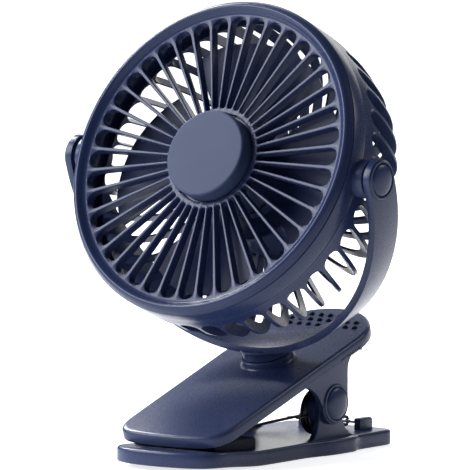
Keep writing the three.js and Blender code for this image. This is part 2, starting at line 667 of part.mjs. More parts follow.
function buildUpperJaw() {
  const plate = solid(prism(plateOutline(), -PLATE_T, 0));
  const pocket = solid(prism(pocketOutline(0), -PLATE_T - 1, -SKIN_T));
  const collar = solid(bar(COLLAR_R, -1, COLLAR_H, 32));
  const hole = solid(bar(SWIVEL_SCREW_R + GAP, -PLATE_T - 1, COLLAR_H + 1, 16));
  const at = (spots, radius, z0, z1, sides) => spots.map(
    ([x, y]) => solid(bar(radius, z0, z1, sides).translate(x, y, 0)));
  const posts = at(coverSpots, POST_R, -PLATE_T + COVER_T + GAP, -SKIN_T + 0.5, 10);
  const bores = at(coverSpots, SCREW_R + GAP, -PLATE_T - 1, -SKIN_T + 0.6, 8);
  const studHoles = at(studCentres(), STUD_R + GAP, -SKIN_T - 1, 1, 6);
  const oneCheek = geometryOf(cheek()).applyMatrix4(toJaw);
  const body = cut(
    join(cut(join(plate, collar), pocket), solid(oneCheek), solid(mirrorX(oneCheek)), ...posts),
    hole, ...bores, ...studHoles);
  piece(jawFrame, 'upper_jaw', geometryOf(body), NAVY);
}

/** Thin cover let into the underside of the plate, with a cup round the swivel screw. */
function buildJawCover() {
  const flat = solid(prism(pocketOutline(GAP), -PLATE_T, -PLATE_T + COVER_T));
  const cup = solid(bar(CUP_R, -PLATE_T - CUP_DROP, -PLATE_T + 0.5, 24));
  const room = solid(bar(CUP_R - CUP_WALL, -PLATE_T - CUP_DROP + CUP_WALL, 0, 24));
  const holes = coverSpots.map(([x, y]) => solid(bar(SCREW_R + GAP, -PLATE_T - 1, 0, 8).translate(x, y, 0)));
  piece(jawFrame, 'jaw_cover', geometryOf(cut(join(flat, cup), room, ...holes)), DARK);
  coverSpots.forEach(([x, y], k) => {
    const fixing = screw(SCREW_R, SCREW_HEAD_R, SCREW_HEAD_T, COVER_T + GAP + 1).rotateX(Math.PI)
      .translate(x, y, -PLATE_T - GAP);
    piece(jawFrame, `cover_screw_${k + 1}`, closed(fixing), STEEL);
  });
}

/** Soft studs on one backing sheet under the plate, standing through its holes. */
function buildGrip() {
  const sheetTop = -SKIN_T - GAP;
  const half = pocketHalf - GAP;
  const s = new THREE.Shape();
  const foreY = STUD_FRONT - STUD_R - 1;
  const turn = Math.asin((foreY - handleY) / half);
  s.absarc(0, handleY, half, turn, Math.PI - turn, false);
  const sheet = solid(prism(s.getPoints(10).map((p) => [p.x, p.y]), sheetTop - STUD_SHEET_T, sheetTop));
  const root = sheetTop - 0.3;
  const section = [[0, root], [STUD_R, root], [STUD_R * 0.9, STUD_RISE], [0, STUD_RISE]];
  const stud = ([x, y]) => solid(revolve(section, 6).translate(x, y, 0));
  piece(jawFrame, 'handle_grip', geometryOf(join(sheet, ...studCentres().map(stud))), RUBBER);
}

function buildUpperPad() {
  const y0 = -PLATE_FRONT + NOSE_CORNER - 3;
  const y1 = (PAD_REAR_Y - SWIVEL_Y) / Math.cos(slope);
  const top = -PLATE_T - GAP / 3;
  const sheet = prism(roundedRect(PAD_HALF - 1, y0, y1, 4), top - UPPER_PAD_T, top);
  piece(jawFrame, 'upper_pad', closed(sheet), RUBBER);
}

function buildHinge() {
  const pin = barX(PIN_R, springBossInX, cheekOutX - GAP, 16).translate(0, HINGE_Y, HINGE_Z);
  const cap = domeX(DOME_R, cheekOutX + GAP / 3, DOME_H).translate(0, HINGE_Y, HINGE_Z);
  pair(jawFrame, 'hinge_pin', closed(pin.applyMatrix4(toJaw)), STEEL);
  pair(jawFrame, 'hinge_cap', closed(cap.applyMatrix4(toJaw)), NAVY);
}

// ---------------------------------------------------------------- yoke and its screws
const armInX = yokeR - YOKE_T;
const screwSeatX = armInX + TILT_SEAT;
const tiltHeadX = screwSeatX + GAP;

function buildYoke() {
  const s = new THREE.Shape();
  s.moveTo(-yokeR, 0);
  s.absarc(0, -YOKE_DROP, yokeR, Math.PI, 2 * Math.PI, false);
  s.lineTo(yokeR, 0);
  s.lineTo(armInX, 0);
  s.absarc(0, -YOKE_DROP, armInX, 2 * Math.PI, Math.PI, true);
  s.lineTo(-armInX, 0);
  const band = prism(s, -YOKE_HALF, YOKE_HALF, 36).rotateX(Math.PI / 2);
  const end = join(
    solid(barX(YOKE_HALF, armInX, yokeR, 24)),
    solid(barX(DOME_R + GAP + RING_W, yokeR - 1, yokeR + RING_H, 20)));
  const bores = join(
    solid(barX(DOME_R + GAP, screwSeatX, yokeR + RING_H + 1, 20)),
    solid(barX(TILT_SCREW_R + GAP, armInX - 2, yokeR, 12)),
    solid(barX(TILT_WASHER_R + GAP, armInX - 5, armInX, 16)));
  const both = (one) => [one, solid(mirrorX(geometryOf(one)))];
  const foot = -YOKE_DROP - yokeR;
  const stem = solid(bar(STEM_R, foot - YOKE_STAND + COLLAR_H + GAP, foot + YOKE_T * 0.5, 24));
  const stemBore = solid(bar(SWIVEL_SCREW_R + GAP, -tiltRise, foot + YOKE_T * 0.25, 16));
  const whole = cut(join(solid(band), ...both(end), stem), ...both(bores), stemBore);
  piece(yokeFrame, 'yoke', geometryOf(whole), NAVY);

  const tiltScrew = screw(TILT_SCREW_R, TILT_HEAD_R, TILT_HEAD_T, TILT_SCREW_LEN).rotateY(Math.PI / 2)
    .translate(tiltHeadX, 0, 0);
  pair(yokeFrame, 'tilt_screw', closed(tiltScrew), STEEL);
  pair(yokeFrame, 'tilt_cap', closed(domeX(DOME_R, tiltHeadX + TILT_HEAD_T + GAP, DOME_H)), NAVY);
  const washer = barX(TILT_WASHER_R, armInX - GAP - WASHER_T, armInX - GAP, 16, TILT_SCREW_R + GAP);
  pair(yokeFrame, 'tilt_washer', closed(washer), RUBBER);
}

function buildSwivel() {
  const washerTop = -SKIN_T - GAP;
  const washer = bar(SWIVEL_WASHER_R, washerTop - WASHER_T, washerTop, 20, SWIVEL_SCREW_R + GAP);
  piece(yokeFrame, 'swivel_washer', closed(washer.translate(0, 0, -tiltRise)), STEEL);
  const headTop = washerTop - WASHER_T - GAP;
  const length = YOKE_STAND + YOKE_T * 0.25 - headTop - 1;
  const pivot = screw(SWIVEL_SCREW_R, SWIVEL_HEAD_R, SWIVEL_HEAD_T, length).rotateX(Math.PI)
    .translate(0, 0, headTop - tiltRise);
  piece(yokeFrame, 'swivel_screw', closed(pivot), STEEL);
}

// ---------------------------------------------------------------- fan head
/** One slot between two ribs, round at its outer end, as a hole about the given angle. */
function slotHole(middle) {
  const inR = HUB_RING_R + 0.6;
  const ribW = (r) => THREE.MathUtils.mapLinear(r, HUB_RING_R, slotOutR, RIB_IN_W, RIB_OUT_W);
  const half = (r) => Math.PI / RIB_COUNT - ribW(r) / 2 / r;
  const wide = half(slotOutR - SLOT_END_R);
  const side = [[inR, half(inR)], [slotOutR - SLOT_END_R, wide],
    [slotOutR - SLOT_END_R * 0.3, wide * 0.76], [slotOutR, wide * 0.26]];
  const pts = [...side, ...side.map(([r, a]) => [r, -a]).reverse()];
  return new THREE.Path(pts.map(([r, a]) => new THREE.Vector2(...polar(r, middle + a))));
}

const ringSegments = RIB_COUNT * 2;
const ringIn = slotOutR + 0.8;
const shellFrontZ = FACE_Z - RIM_LIP - GROOVE_W;
const shellRearZ = shellFrontZ - SHELL_LEN;
const bandFrontZ = shellRearZ - GAP;
const bandRearZ = bandFrontZ - BAND_LEN;
const bandR = RIM_R - BAND_STEP;
const skirtR = RIM_R - SHELL_T - GAP;

function buildGrille() {
  const sheet = new THREE.Shape(Array.from({ length: ringSegments }, (_, k) =>
    new THREE.Vector2(...polar(ringIn + 1, (2 * Math.PI * k) / ringSegments))));
  for (let k = 0; k < RIB_COUNT; k++) sheet.holes.push(slotHole(rad((360 * (k + 0.5)) / RIB_COUNT)));
  const back = FACE_Z - RIB_DEPTH;
  const ribs = solid(prism(sheet, back, FACE_Z));
  const lipZ = FACE_Z - RIM_LIP;
  const rim = solid(revolve([[ringIn, back], [ringIn, FACE_Z], [RIM_R - 4, FACE_Z + CROWN_H],
    [RIM_R - 1.4, FACE_Z + CROWN_H * 0.75], [RIM_R, lipZ], [skirtR, lipZ], [skirtR, back]], ringSegments));
  const well = solid(bar(HUB_RING_R - HUB_RING_W, back + HUB_WEB_T, FACE_Z + 1, RIB_COUNT));
  piece(headFrame, 'front_grille', geometryOf(join(cut(ribs, well), rim)), NAVY);

  const foot = back + HUB_WEB_T + GAP;
  const top = FACE_Z + DISC_RISE;
  const inside = DISC_R - DISC_T;
  const disc = revolve([[0, top - DISC_T], [inside, top - DISC_T], [inside, foot], [DISC_R, foot],
    [DISC_R, top - 0.5], [DISC_R - 0.5, top], [0, top]], RIB_COUNT);
  piece(headFrame, 'hub_disc', closed(disc), NAVY_DISC);
  const wall = bar(RIM_R, shellRearZ, shellFrontZ, ringSegments, RIM_R - SHELL_T);
  piece(headFrame, 'front_shell', closed(wall), NAVY);
}

/** Outer line of the rear basket, from its front band round to the pod, as [radius, z]. */
const rearLine = [[bandR - GAP, bandRearZ + 1],
  ...REAR_CURVE.map(([inset, share]) => [RIM_R - inset, -REAR_DEPTH * share]), [POD_R - 1, -REAR_DEPTH]];

/** One rear rib: leans the same way all along, so it winds faster as the basket narrows. */
function rearRib(start) {
  const last = rearLine.length - 1;
  let wind = 0;
  const rings = rearLine.map(([r, z], i) => {
    const [r0, z0] = rearLine[Math.max(i - 1, 0)];
    const [r1, z1] = rearLine[Math.min(i + 1, last)];
    const run = Math.hypot(r1 - r0, z1 - z0);
    const [inR, inZ] = [(z1 - z0) / run, (r0 - r1) / run];
    wind += (Math.tan(rad(REAR_LEAN)) * Math.hypot(r - r0, z - z0)) / ((r + r0) / 2);
    const [c, s] = [Math.cos(start - wind), Math.sin(start - wind)];
    const corner = (depth, side) => {
      const rr = r + inR * depth;
      return [rr * c - side * s, rr * s + side * c, z + inZ * depth];
    };
    const w = REAR_RIB_W / 2;
    return [corner(0, -w), corner(0, w), corner(REAR_RIB_T, w * 0.7), corner(REAR_RIB_T, -w * 0.7)];
  });
  return loft(rings);
}

const podIn = POD_R - POD_T;
const podSpots = [0, 90, 180].map((a) => polar(podIn - POD_POST_R - 0.8, rad(a)));
const podRearZ = -REAR_DEPTH - POD_RIM;
const boardZ0 = podRearZ + BOARD_STAND;

/** Round boss on one side of the head: its root is in the rear band only. */
function tiltBoss(side) {
  const along = (radius, x0, x1, sides) => solid(barX(radius, Math.min(side * x0, side * x1),
    Math.max(side * x0, side * x1), sides));
  const outer = armInX - GAP * 2 - WASHER_T;
  const ahead = solid(block([-2 * RIM_R, -2 * TILT_BOSS_R, bandFrontZ], [2 * RIM_R, 2 * TILT_BOSS_R, RIM_R]));
  const root = cut(along(TILT_BOSS_R, RIM_R - 4, RIM_R + 1, 20), ahead);
  const disc = along(TILT_BOSS_R, RIM_R + GAP, outer, 20);
  const bore = along(TILT_SCREW_R + GAP, tiltHeadX - TILT_SCREW_LEN - GAP, outer + 1, 10);
  return { boss: join(root, disc), bore };
}

function buildBasket() {
  const band = solid(bar(bandR, bandRearZ, bandFrontZ, ringSegments, bandR - SHELL_T));
  const ribs = Array.from({ length: RIB_COUNT }, (_, k) => solid(rearRib(rad((360 * (k + 0.25)) / RIB_COUNT))));
  const floorRear = POD_FLOOR_Z - POD_T;
  const pod = solid(revolve([[0, POD_FLOOR_Z], [0, floorRear], [podIn, floorRear], [podIn, podRearZ],
    [POD_R, podRearZ], [POD_R, POD_FLOOR_Z]], RIB_COUNT));
  const seatIn = MOTOR_R + GAP;
  const seat = solid(bar(seatIn + MOTOR_SEAT_WALL, POD_FLOOR_Z - 0.5, POD_FLOOR_Z + MOTOR_SEAT_H, 24, seatIn));
  const at = (radius, z0, z1, sides) => podSpots.map(
    ([x, y]) => solid(bar(radius, z0, z1, sides).translate(x, y, 0)));
  const posts = at(POD_POST_R, podRearZ + LID_SPIGOT + 1, floorRear + 0.5, 10);
  const postBores = at(SCREW_R + GAP, podRearZ, podRearZ + LID_SCREW_LEN + 2, 8);
  const tilt = [tiltBoss(1), tiltBoss(-1)];
  const shell = join(band, ...ribs, pod, seat, ...posts, ...tilt.map((t) => t.boss));
  piece(headFrame, 'rear_basket', geometryOf(cut(shell, ...postBores, ...tilt.map((t) => t.bore))), NAVY);
}

/** Block as wide and high as the charge port, grown all round. */
function portBlock(grow, z0, z1) {
  const [halfX, halfY] = [PORT[0] / 2 + grow, PORT[1] / 2 + grow];
  return block([-halfX, PORT_Y - halfY, z0], [halfX, PORT_Y + halfY, z1]);
}

function buildPodContents() {
  const frontZ = podRearZ + LID_SPIGOT;
  const stepZ = podRearZ - GAP;
  const rearZ = stepZ - LID_T;
  const through = (radius, x, y, sides) => solid(bar(radius, rearZ - 1, frontZ + 1, sides).translate(x, y, 0));
  const sink = bar(SCREW_HEAD_R + GAP, rearZ - 1, rearZ + 1, 10);
  const sinks = podSpots.map(([x, y]) => solid(sink.clone().translate(x, y, 0)));
  const lid = cut(
    solid(revolve([[0, rearZ], [POD_R - 0.6, rearZ], [POD_R, rearZ + 0.6], [POD_R, stepZ],
      [podIn - GAP, stepZ], [podIn - GAP, frontZ], [0, frontZ]], 32)),
    through(BUTTON_R + GAP, 0, 0, 24), through(LENS_R + GAP, 0, LENS_Y, 10),
    ...podSpots.map(([x, y]) => through(SCREW_R + GAP, x, y, 8)), ...sinks,
    solid(portBlock(GAP, rearZ - 1, frontZ + 1)));
  piece(headFrame, 'rear_lid', geometryOf(lid), NAVY);
  podSpots.forEach(([x, y], k) => {
    const fixing = screw(SCREW_R, SCREW_HEAD_R, SCREW_HEAD_T, LID_SCREW_LEN).rotateX(Math.PI)
      .translate(x, y, rearZ + 1 - GAP);
    piece(headFrame, `lid_screw_${k + 1}`, closed(fixing), STEEL);
  });
  const flangeZ = frontZ + GAP;
  const flangeR = BUTTON_R + BUTTON_FLANGE;
  const button = revolve([[0, rearZ - BUTTON_RISE], [BUTTON_R - 0.6, rearZ - BUTTON_RISE],
    [BUTTON_R, rearZ - BUTTON_RISE + 0.6], [BUTTON_R, flangeZ], [flangeR, flangeZ],
    [flangeR, flangeZ + 0.6], [0, flangeZ + 0.6]], 24);
  piece(headFrame, 'power_button', closed(button), NAVY_DISC);
  const lens = bar(LENS_R, rearZ, boardZ0 - GAP, 10).translate(0, LENS_Y, 0);
  piece(headFrame, 'indicator_lens', closed(lens), LENS);
  const boardZ1 = boardZ0 + BOARD_T;
  const board = cut(solid(bar(BOARD_R, boardZ0, boardZ1, 28)), solid(portBlock(GAP, boardZ0 - 1, boardZ1 + 1)));
  piece(headFrame, 'circuit_board', geometryOf(board), BOARD_GREEN);
  const portZ = rearZ + PORT_SINK;
  const portBody = cut(
    solid(portBlock(0, portZ, portZ + PORT[2])),
    solid(portBlock(-PORT_WALL, portZ - 1, portZ + PORT[2] - PORT_WALL)));
  piece(headFrame, 'charge_port', geometryOf(portBody), STEEL);
  const cellTop = POD_FLOOR_Z - POD_T - GAP;
  const [cellX, cellY, cellT] = BATTERY;
  piece(headFrame, 'battery_cell',
    block([-cellX / 2, -cellY / 2, cellTop - cellT], [cellX / 2, cellY / 2, cellTop]), CELL_WRAP);
}

function buildMotor() {
  const rear = POD_FLOOR_Z + GAP;
  const front = rear + MOTOR_LEN;
  const can = cut(
    solid(revolve([[0, rear], [MOTOR_R, rear], [MOTOR_R, front - 1], [MOTOR_R - 1, front], [0, front]], 28)),
    solid(bar(SHAFT_R + GAP, rear + SHAFT_IN, front + 1, 10)));
  piece(headFrame, 'motor', geometryOf(can), STEEL);
  const shaft = bar(SHAFT_R, rear + SHAFT_IN + GAP, FAN_FRONT_Z + SHAFT_OUT, 10);
  piece(headFrame, 'motor_shaft', closed(shaft), STEEL);
}

/** A curved, pitched blade between the hub and its tip. */
function blade(middle) {
  const rows = 5;
  const cols = 6;
  const midZ = (FAN_FRONT_Z + FAN_REAR_Z) / 2;
  const rings = [];
  for (let i = 0; i <= rows; i++) {
    const t = i / rows;
    const r = THREE.MathUtils.lerp(FAN_HUB_R - 1.2, fanTipR, t);
    const span = rad(BLADE_SPAN) * THREE.MathUtils.lerp(0.78, 1, Math.sin((t * Math.PI) / 2));
    const rise = BLADE_RISE * (1 - 0.3 * t * t);
    const front = [];
    const back = [];
    for (let j = 0; j <= cols; j++) {
      const u = j / cols;
      const inward = BLADE_CUT * t ** 3 * Math.max((u - 0.5) / 0.5, 0) ** 2;
      const [x, y] = polar(r - inward, middle + span * (0.5 - u));
      const z = midZ + rise * Math.cos(u * Math.PI);
      front.push([x, y, z + BLADE_T / 2]);
      back.unshift([x, y, z - BLADE_T / 2]);
    }
    rings.push([...front, ...back]);
  }
  return loft(rings);
}

function buildImpeller() {
  const innerR = FAN_HUB_R - FAN_HUB_WALL;
  const faceZ = FAN_FRONT_Z - FAN_HUB_FACE;
  const hub = solid(revolve([[0, FAN_FRONT_Z], [FAN_HUB_R - 1.5, FAN_FRONT_Z], [FAN_HUB_R, FAN_FRONT_Z - 1.5],
    [FAN_HUB_R, FAN_REAR_Z], [innerR, FAN_REAR_Z], [innerR, faceZ], [0, faceZ]], 28));
  const blades = Array.from({ length: BLADE_COUNT }, (_, k) =>
    solid(blade(rad(BLADE_AT + (360 * k) / BLADE_COUNT))));
  const inside = solid(bar(innerR, FAN_REAR_Z - 5, faceZ, 28));
  const sleeve = solid(bar(FAN_SLEEVE_R, faceZ - 3, faceZ + 1, 14));
  const bore = solid(bar(SHAFT_R + GAP, faceZ - 4, FAN_FRONT_Z + 1, 10));
  piece(headFrame, 'impeller', geometryOf(cut(join(cut(join(hub, ...blades), inside), sleeve), bore)), DARK);
  const nutZ = FAN_FRONT_Z + GAP;
  const nut = bar(NUT_R, nutZ, nutZ + NUT_T, 6, SHAFT_R + GAP);
  piece(headFrame, 'shaft_nut', closed(nut), STEEL);
}

buildLowerJaw();
buildLowerPad();
buildSprings();
buildUpperJaw();
buildJawCover();
buildGrip();
buildUpperPad();
buildHinge();
buildYoke();
buildSwivel();
buildGrille();
buildBasket();
buildPodContents();
buildMotor();
buildImpeller();

export default fan;
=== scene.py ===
"""Clip fan: the visible model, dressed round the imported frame.

A round fan head tilts in a U-shaped yoke that turns on a sprung clip with two long jaws. Every piece is
drawn with the edit tools in millimetres in the frame of what carries it, and is then seated in metres.
"""
import logging
import math
from dataclasses import dataclass, field
from enum import Enum
from typing import Callable, Sequence

import bpy
from mathutils import Matrix, Vector


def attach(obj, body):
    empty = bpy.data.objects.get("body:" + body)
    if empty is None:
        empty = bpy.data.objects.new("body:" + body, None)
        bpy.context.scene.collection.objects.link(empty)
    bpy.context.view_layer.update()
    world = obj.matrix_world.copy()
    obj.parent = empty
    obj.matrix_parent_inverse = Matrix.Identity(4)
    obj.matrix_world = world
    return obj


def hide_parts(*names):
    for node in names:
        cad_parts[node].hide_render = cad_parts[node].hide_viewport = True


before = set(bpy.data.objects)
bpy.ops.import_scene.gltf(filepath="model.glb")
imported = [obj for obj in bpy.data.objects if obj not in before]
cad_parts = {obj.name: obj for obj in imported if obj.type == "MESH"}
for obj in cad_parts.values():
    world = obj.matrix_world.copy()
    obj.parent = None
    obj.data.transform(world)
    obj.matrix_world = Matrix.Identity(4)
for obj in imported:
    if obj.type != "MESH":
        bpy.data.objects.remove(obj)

logging.basicConfig(level=logging.INFO, format="%(name)s: %(message)s")
LOG = logging.getLogger("clip_fan")

Spot = tuple[float, float]
Point = tuple[float, float, float]
Ring = list[Point]
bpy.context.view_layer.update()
MM = 0.001


# ---------------------------------------------------------------- lines and arcs
def arc(centre: Spot, radius: float, start: float, end: float, steps: int) -> list[Spot]:
    """Points along an arc.

    Args:
        centre: middle of the arc.
        radius: its radius.
        start: first angle in degrees.
        end: last angle in degrees.
        steps: how many steps the arc takes.

    Returns:
        The points, both ends included.
    """
    turns = [math.radians(start + (end - start) * k / steps) for k in range(steps + 1)]
    return [(centre[0] + radius * math.cos(t), centre[1] + radius * math.sin(t)) for t in turns]


def curve(corners: Sequence[Spot], steps: int) -> list[Spot]:
    """Points along a Bezier curve of any degree.

    Args:
        corners: its control points, ends included.
        steps: how many steps the curve takes.

    Returns:
        The points, both ends included.
    """
    degree = len(corners) - 1
    points = []
    for k in range(steps + 1):
        t = k / steps
        weights = [math.comb(degree, i) * t**i * (1 - t) ** (degree - i) for i in range(degree + 1)]
        points.append(tuple(sum(w * c[axis] for w, c in zip(weights, corners)) for axis in (0, 1)))
    return points


def through(spots: Sequence[Spot], steps: int) -> list[Spot]:
    """Points along a smooth line that passes through every given spot.

    Args:
        spots: where the line passes.
        steps: steps between two spots.

    Returns:
        The points, both ends included.
    """
    line = []
    for i in range(len(spots) - 1):
        a, b, c, d = (spots[min(max(i + k, 0), len(spots) - 1)] for k in (-1, 0, 1, 2))
        for k in range(steps):
            t = k / steps
            line.append(tuple(0.5 * (2 * q + (r - p) * t + (2 * p - 5 * q + 4 * r - s) * t**2
                                     + (3 * q - p - 3 * r + s) * t**3) for p, q, r, s in zip(a, b, c, d)))
    return line + [tuple(spots[-1])]


def fillet(corners: Sequence[Spot], radii: Sequence[float], steps: int = 4) -> list[Spot]:
    """Rounds the corners of a closed outline.

    Args:
        corners: the outline's corners in order.
        radii: how far the rounding starts from each corner, 0 for a sharp one.
        steps: steps along each rounding.

    Returns:
        The rounded outline.
    """
    out: list[Spot] = []
    for i, (corner, radius) in enumerate(zip(corners, radii)):
        if radius == 0:
            out.append(corner)
            continue
        before, here, after = (Vector(corners[(i + k) % len(corners)]) for k in (-1, 0, 1))
        first = here + (before - here).normalized() * radius
        last = here + (after - here).normalized() * radius
        out += curve([tuple(first), tuple(here), tuple(last)], steps)
    return out


# ---------------------------------------------------------------- frames
class Place(Enum):
    """The frames that pieces are drawn in."""

    WORLD = "world"
    JAW = "upper jaw: swivel axis at the plate's top, Y up the slope"
    YOKE = "yoke: as the jaw's, on the tilt axis"
    HEAD = "head: tilt axis, Z out of the face"


@dataclass(frozen=True)
class Layout:
    """Where the moving frames stand, in millimetres and degrees."""

    slope: float = 18.33
    look_up: float = 24.65
    swivel: Point = (0.0, 13.96, 40.35)
    tilt_rise: float = 92.1

    def pivot(self) -> Vector:
        """Where the tilt axis crosses the swivel axis."""
        turn = Matrix.Rotation(math.radians(self.slope), 3, "X")
        return Vector(self.swivel) + turn @ Vector((0, 0, self.tilt_rise))

    def matrix(self, place: Place) -> Matrix:
        """The matrix that seats a piece.

        Args:
            place: the frame that the piece was drawn in.

        Returns:
            The matrix from that frame in millimetres to the row frame in metres.
        """
        scale = Matrix.Scale(MM, 4)
        if place is Place.WORLD:
            return scale
        angle = 90 - self.look_up if place is Place.HEAD else self.slope
        origin = Vector(self.swivel) if place is Place.JAW else self.pivot()
        return scale @ Matrix.Translation(origin) @ Matrix.Rotation(math.radians(angle), 4, "X")

    def in_jaw(self, y: float, z: float) -> Spot:
        """World Y and Z as the upper jaw's Y and Z."""
        c, s = math.cos(math.radians(self.slope)), math.sin(math.radians(self.slope))
        dy, dz = y - self.swivel[1], z - self.swivel[2]
        return (dy * c + dz * s, dz * c - dy * s)

    def plate_top(self, y: float) -> float:
        """Height of the upper jaw's top face over a world Y."""
        return self.swivel[2] + (y - self.swivel[1]) * math.tan(math.radians(self.slope))


LAYOUT = Layout()


# ---------------------------------------------------------------- edit tools
class Bench:
    """Blender's own edit tools, used one by one as by hand."""

    @staticmethod
    def free() -> None:
        """Leaves edit mode and deselects everything."""
        if bpy.context.mode != "OBJECT":
            bpy.ops.object.mode_set(mode="OBJECT")
        bpy.ops.object.select_all(action="DESELECT")

    @classmethod
    def pick(cls, *objs: bpy.types.Object) -> None:
        """Selects these objects alone, the first one active."""
        cls.free()
        for obj in objs:
            obj.select_set(True)
        bpy.context.view_layer.objects.active = objs[0]

    @classmethod
    def edit(cls, obj: bpy.types.Object) -> None:
        """Opens one object in edit mode with all of its mesh selected."""
        cls.pick(obj)
        bpy.ops.object.mode_set(mode="EDIT")
        bpy.ops.mesh.select_all(action="SELECT")

    @staticmethod
    def close(merge: float = 0.002) -> None:
        """Merges doubles, turns the faces outwards and leaves edit mode."""
        bpy.ops.mesh.select_all(action="SELECT")
        bpy.ops.mesh.remove_doubles(threshold=merge)
        bpy.ops.mesh.normals_make_consistent(inside=False)
        bpy.ops.object.mode_set(mode="OBJECT")

    @classmethod
    def draw(cls, loops: Sequence[Sequence[Point]], closed: bool = True) -> bpy.types.Object:
        """Draws lines point by point, each from a plane that is merged to one vertex.

        Args:
            loops: the points of each line.
            closed: whether each line comes back to its first point.

        Returns:
            The new object, in edit mode with everything selected.
        """
        cls.free()
        bpy.ops.mesh.primitive_plane_add(size=1)
        obj = bpy.context.object
        bpy.ops.object.mode_set(mode="EDIT")
        for i, loop in enumerate(loops):
            if i:
                bpy.ops.mesh.primitive_plane_add(size=1)
            bpy.ops.mesh.merge(type="CENTER")
            bpy.ops.transform.translate(value=loop[0])
            points = list(loop) + [loop[0]] if closed else list(loop)
            for here, there in zip(points, points[1:]):
                bpy.ops.mesh.extrude_vertices_move(
                    TRANSFORM_OT_translate={"value": [b - a for a, b in zip(here, there)]})
        bpy.ops.mesh.select_all(action="SELECT")
        bpy.ops.mesh.remove_doubles(threshold=0.0005)
        return obj

    @classmethod
    def slab(cls, outline: Sequence[Spot], low: float, high: float) -> bpy.types.Object:
        """An X, Y outline raised along Z.

        Args:
            outline: its points.
            low: Z of the underside.
            high: Z of the top.

        Returns:
            The closed piece.
        """
        obj = cls.draw([[(x, y, low) for x, y in outline]])
        bpy.ops.mesh.edge_face_add()
        bpy.ops.mesh.extrude_region_move(TRANSFORM_OT_translate={"value": (0, 0, high - low)})
        cls.close()
        return obj

    @classmethod
    def wall(cls, outline: Sequence[Spot], near: float, far: float) -> bpy.types.Object:
        """A Y, Z outline raised along X, as slab does along Z."""
        obj = cls.draw([[(near, y, z) for y, z in outline]])
        bpy.ops.mesh.edge_face_add()
        bpy.ops.mesh.extrude_region_move(TRANSFORM_OT_translate={"value": (far - near, 0, 0)})
        cls.close()
        return obj

    @classmethod
    def turned(cls, profile: Sequence[Spot], steps: int = 64, closed: bool = True,
               centre: Point | None = None) -> bpy.types.Object:
        """A profile spun all the way round.

        Args:
            profile: points of radius and height.
            steps: steps in the full turn.
            closed: whether the profile comes back to its first point, or runs from axis to axis.
            centre: None to spin about Z, or a point to spin about the line along X through it.

        Returns:
            The closed piece.
        """
        if centre is None:
            points, axis, middle = [(r, 0.0, h) for r, h in profile], (0, 0, 1), (0, 0, 0)
        else:
            x, y, z = centre
            points, axis, middle = [(x + h, y, z + r) for r, h in profile], (1, 0, 0), centre
        obj = cls.draw([points], closed)
        bpy.ops.mesh.spin(steps=steps, angle=math.tau, center=middle, axis=axis, use_auto_merge=False)
        cls.close()
        return obj

    @classmethod
    def skin(cls, rings: Sequence[Ring]) -> bpy.types.Object:
        """Bridges a row of closed rings and fills its two ends.

        Args:
            rings: the rings in order, with the same number of points.

        Returns:
            The closed piece.
        """
        obj = cls.draw(rings)
        bpy.ops.mesh.bridge_edge_loops()
        bpy.ops.mesh.select_all(action="SELECT")
        bpy.ops.mesh.fill_holes(sides=0)
        cls.close(0.0005)
        return obj

    @classmethod
    def around(cls, obj: bpy.types.Object, count: int) -> None:
        """Copies an object's whole mesh round the Z axis, evenly spaced."""
        cls.edit(obj)
        bpy.ops.mesh.spin(steps=count - 1, dupli=True, angle=math.tau * (count - 1) / count,
                          center=(0, 0, 0), axis=(0, 0, 1), use_auto_merge=False)
        bpy.ops.object.mode_set(mode="OBJECT")

    @classmethod
    def bent(cls, obj: bpy.types.Object, rise: Callable[[float], float], cuts: Sequence[float]) -> None:
        """Bends a piece along Y: cuts it across, then raises its points row by row.

        Args:
            obj: the piece.
            rise: how far a point at a given Y goes up.
            cuts: the Y of each cut.
        """
        cls.edit(obj)
        for y in cuts:
            bpy.ops.mesh.select_all(action="SELECT")
            bpy.ops.mesh.bisect(plane_co=(0, y, 0), plane_no=(0, 1, 0))
        bpy.ops.mesh.select_mode(type="VERT")
        bpy.ops.object.mode_set(mode="OBJECT")
        rows: dict[float, list[int]] = {}
        for vertex in obj.data.vertices:
            if rise(vertex.co.y) > 0:
                rows.setdefault(round(vertex.co.y, 3), []).append(vertex.index)
        for y, row in rows.items():
            bpy.ops.object.mode_set(mode="EDIT")
            bpy.ops.mesh.select_all(action="DESELECT")
            bpy.ops.object.mode_set(mode="OBJECT")
            for index in row:
                obj.data.vertices[index].select = True
            bpy.ops.object.mode_set(mode="EDIT")
            bpy.ops.transform.translate(value=(0, 0, rise(y)))
            bpy.ops.object.mode_set(mode="OBJECT")

    @classmethod
    def modify(cls, obj: bpy.types.Object, kind: str, **settings: object) -> None:
        """Adds one modifier with its settings and applies it."""
        cls.pick(obj)
        bpy.ops.object.modifier_add(type=kind)
        modifier = obj.modifiers[-1]
        for key, value in settings.items():
            setattr(modifier, key, value)
        bpy.ops.object.modifier_apply(modifier=modifier.name)

    @classmethod
    def bevel(cls, obj: bpy.types.Object, width: float, segments: int = 3, angle: float = 40) -> None:
        """Rounds every edge sharper than an angle in degrees."""
        cls.modify(obj, "BEVEL", width=width, segments=segments, limit_method="ANGLE",
                   angle_limit=math.radians(angle), use_clamp_overlap=True, miter_outer="MITER_ARC")

    @classmethod
    def boolean(cls, obj: bpy.types.Object, tool: bpy.types.Object, how: str = "DIFFERENCE") -> None:
        """Cuts a tool out of an object, or unites the two, and removes the tool."""
        cls.modify(obj, "BOOLEAN", object=tool, operation=how, solver="EXACT")
        bpy.data.objects.remove(tool, do_unlink=True)

    @classmethod
    def together(cls, *objs: bpy.types.Object) -> bpy.types.Object:
        """Joins objects into the first one."""
        cls.pick(*objs)
        bpy.ops.object.join()
        return objs[0]

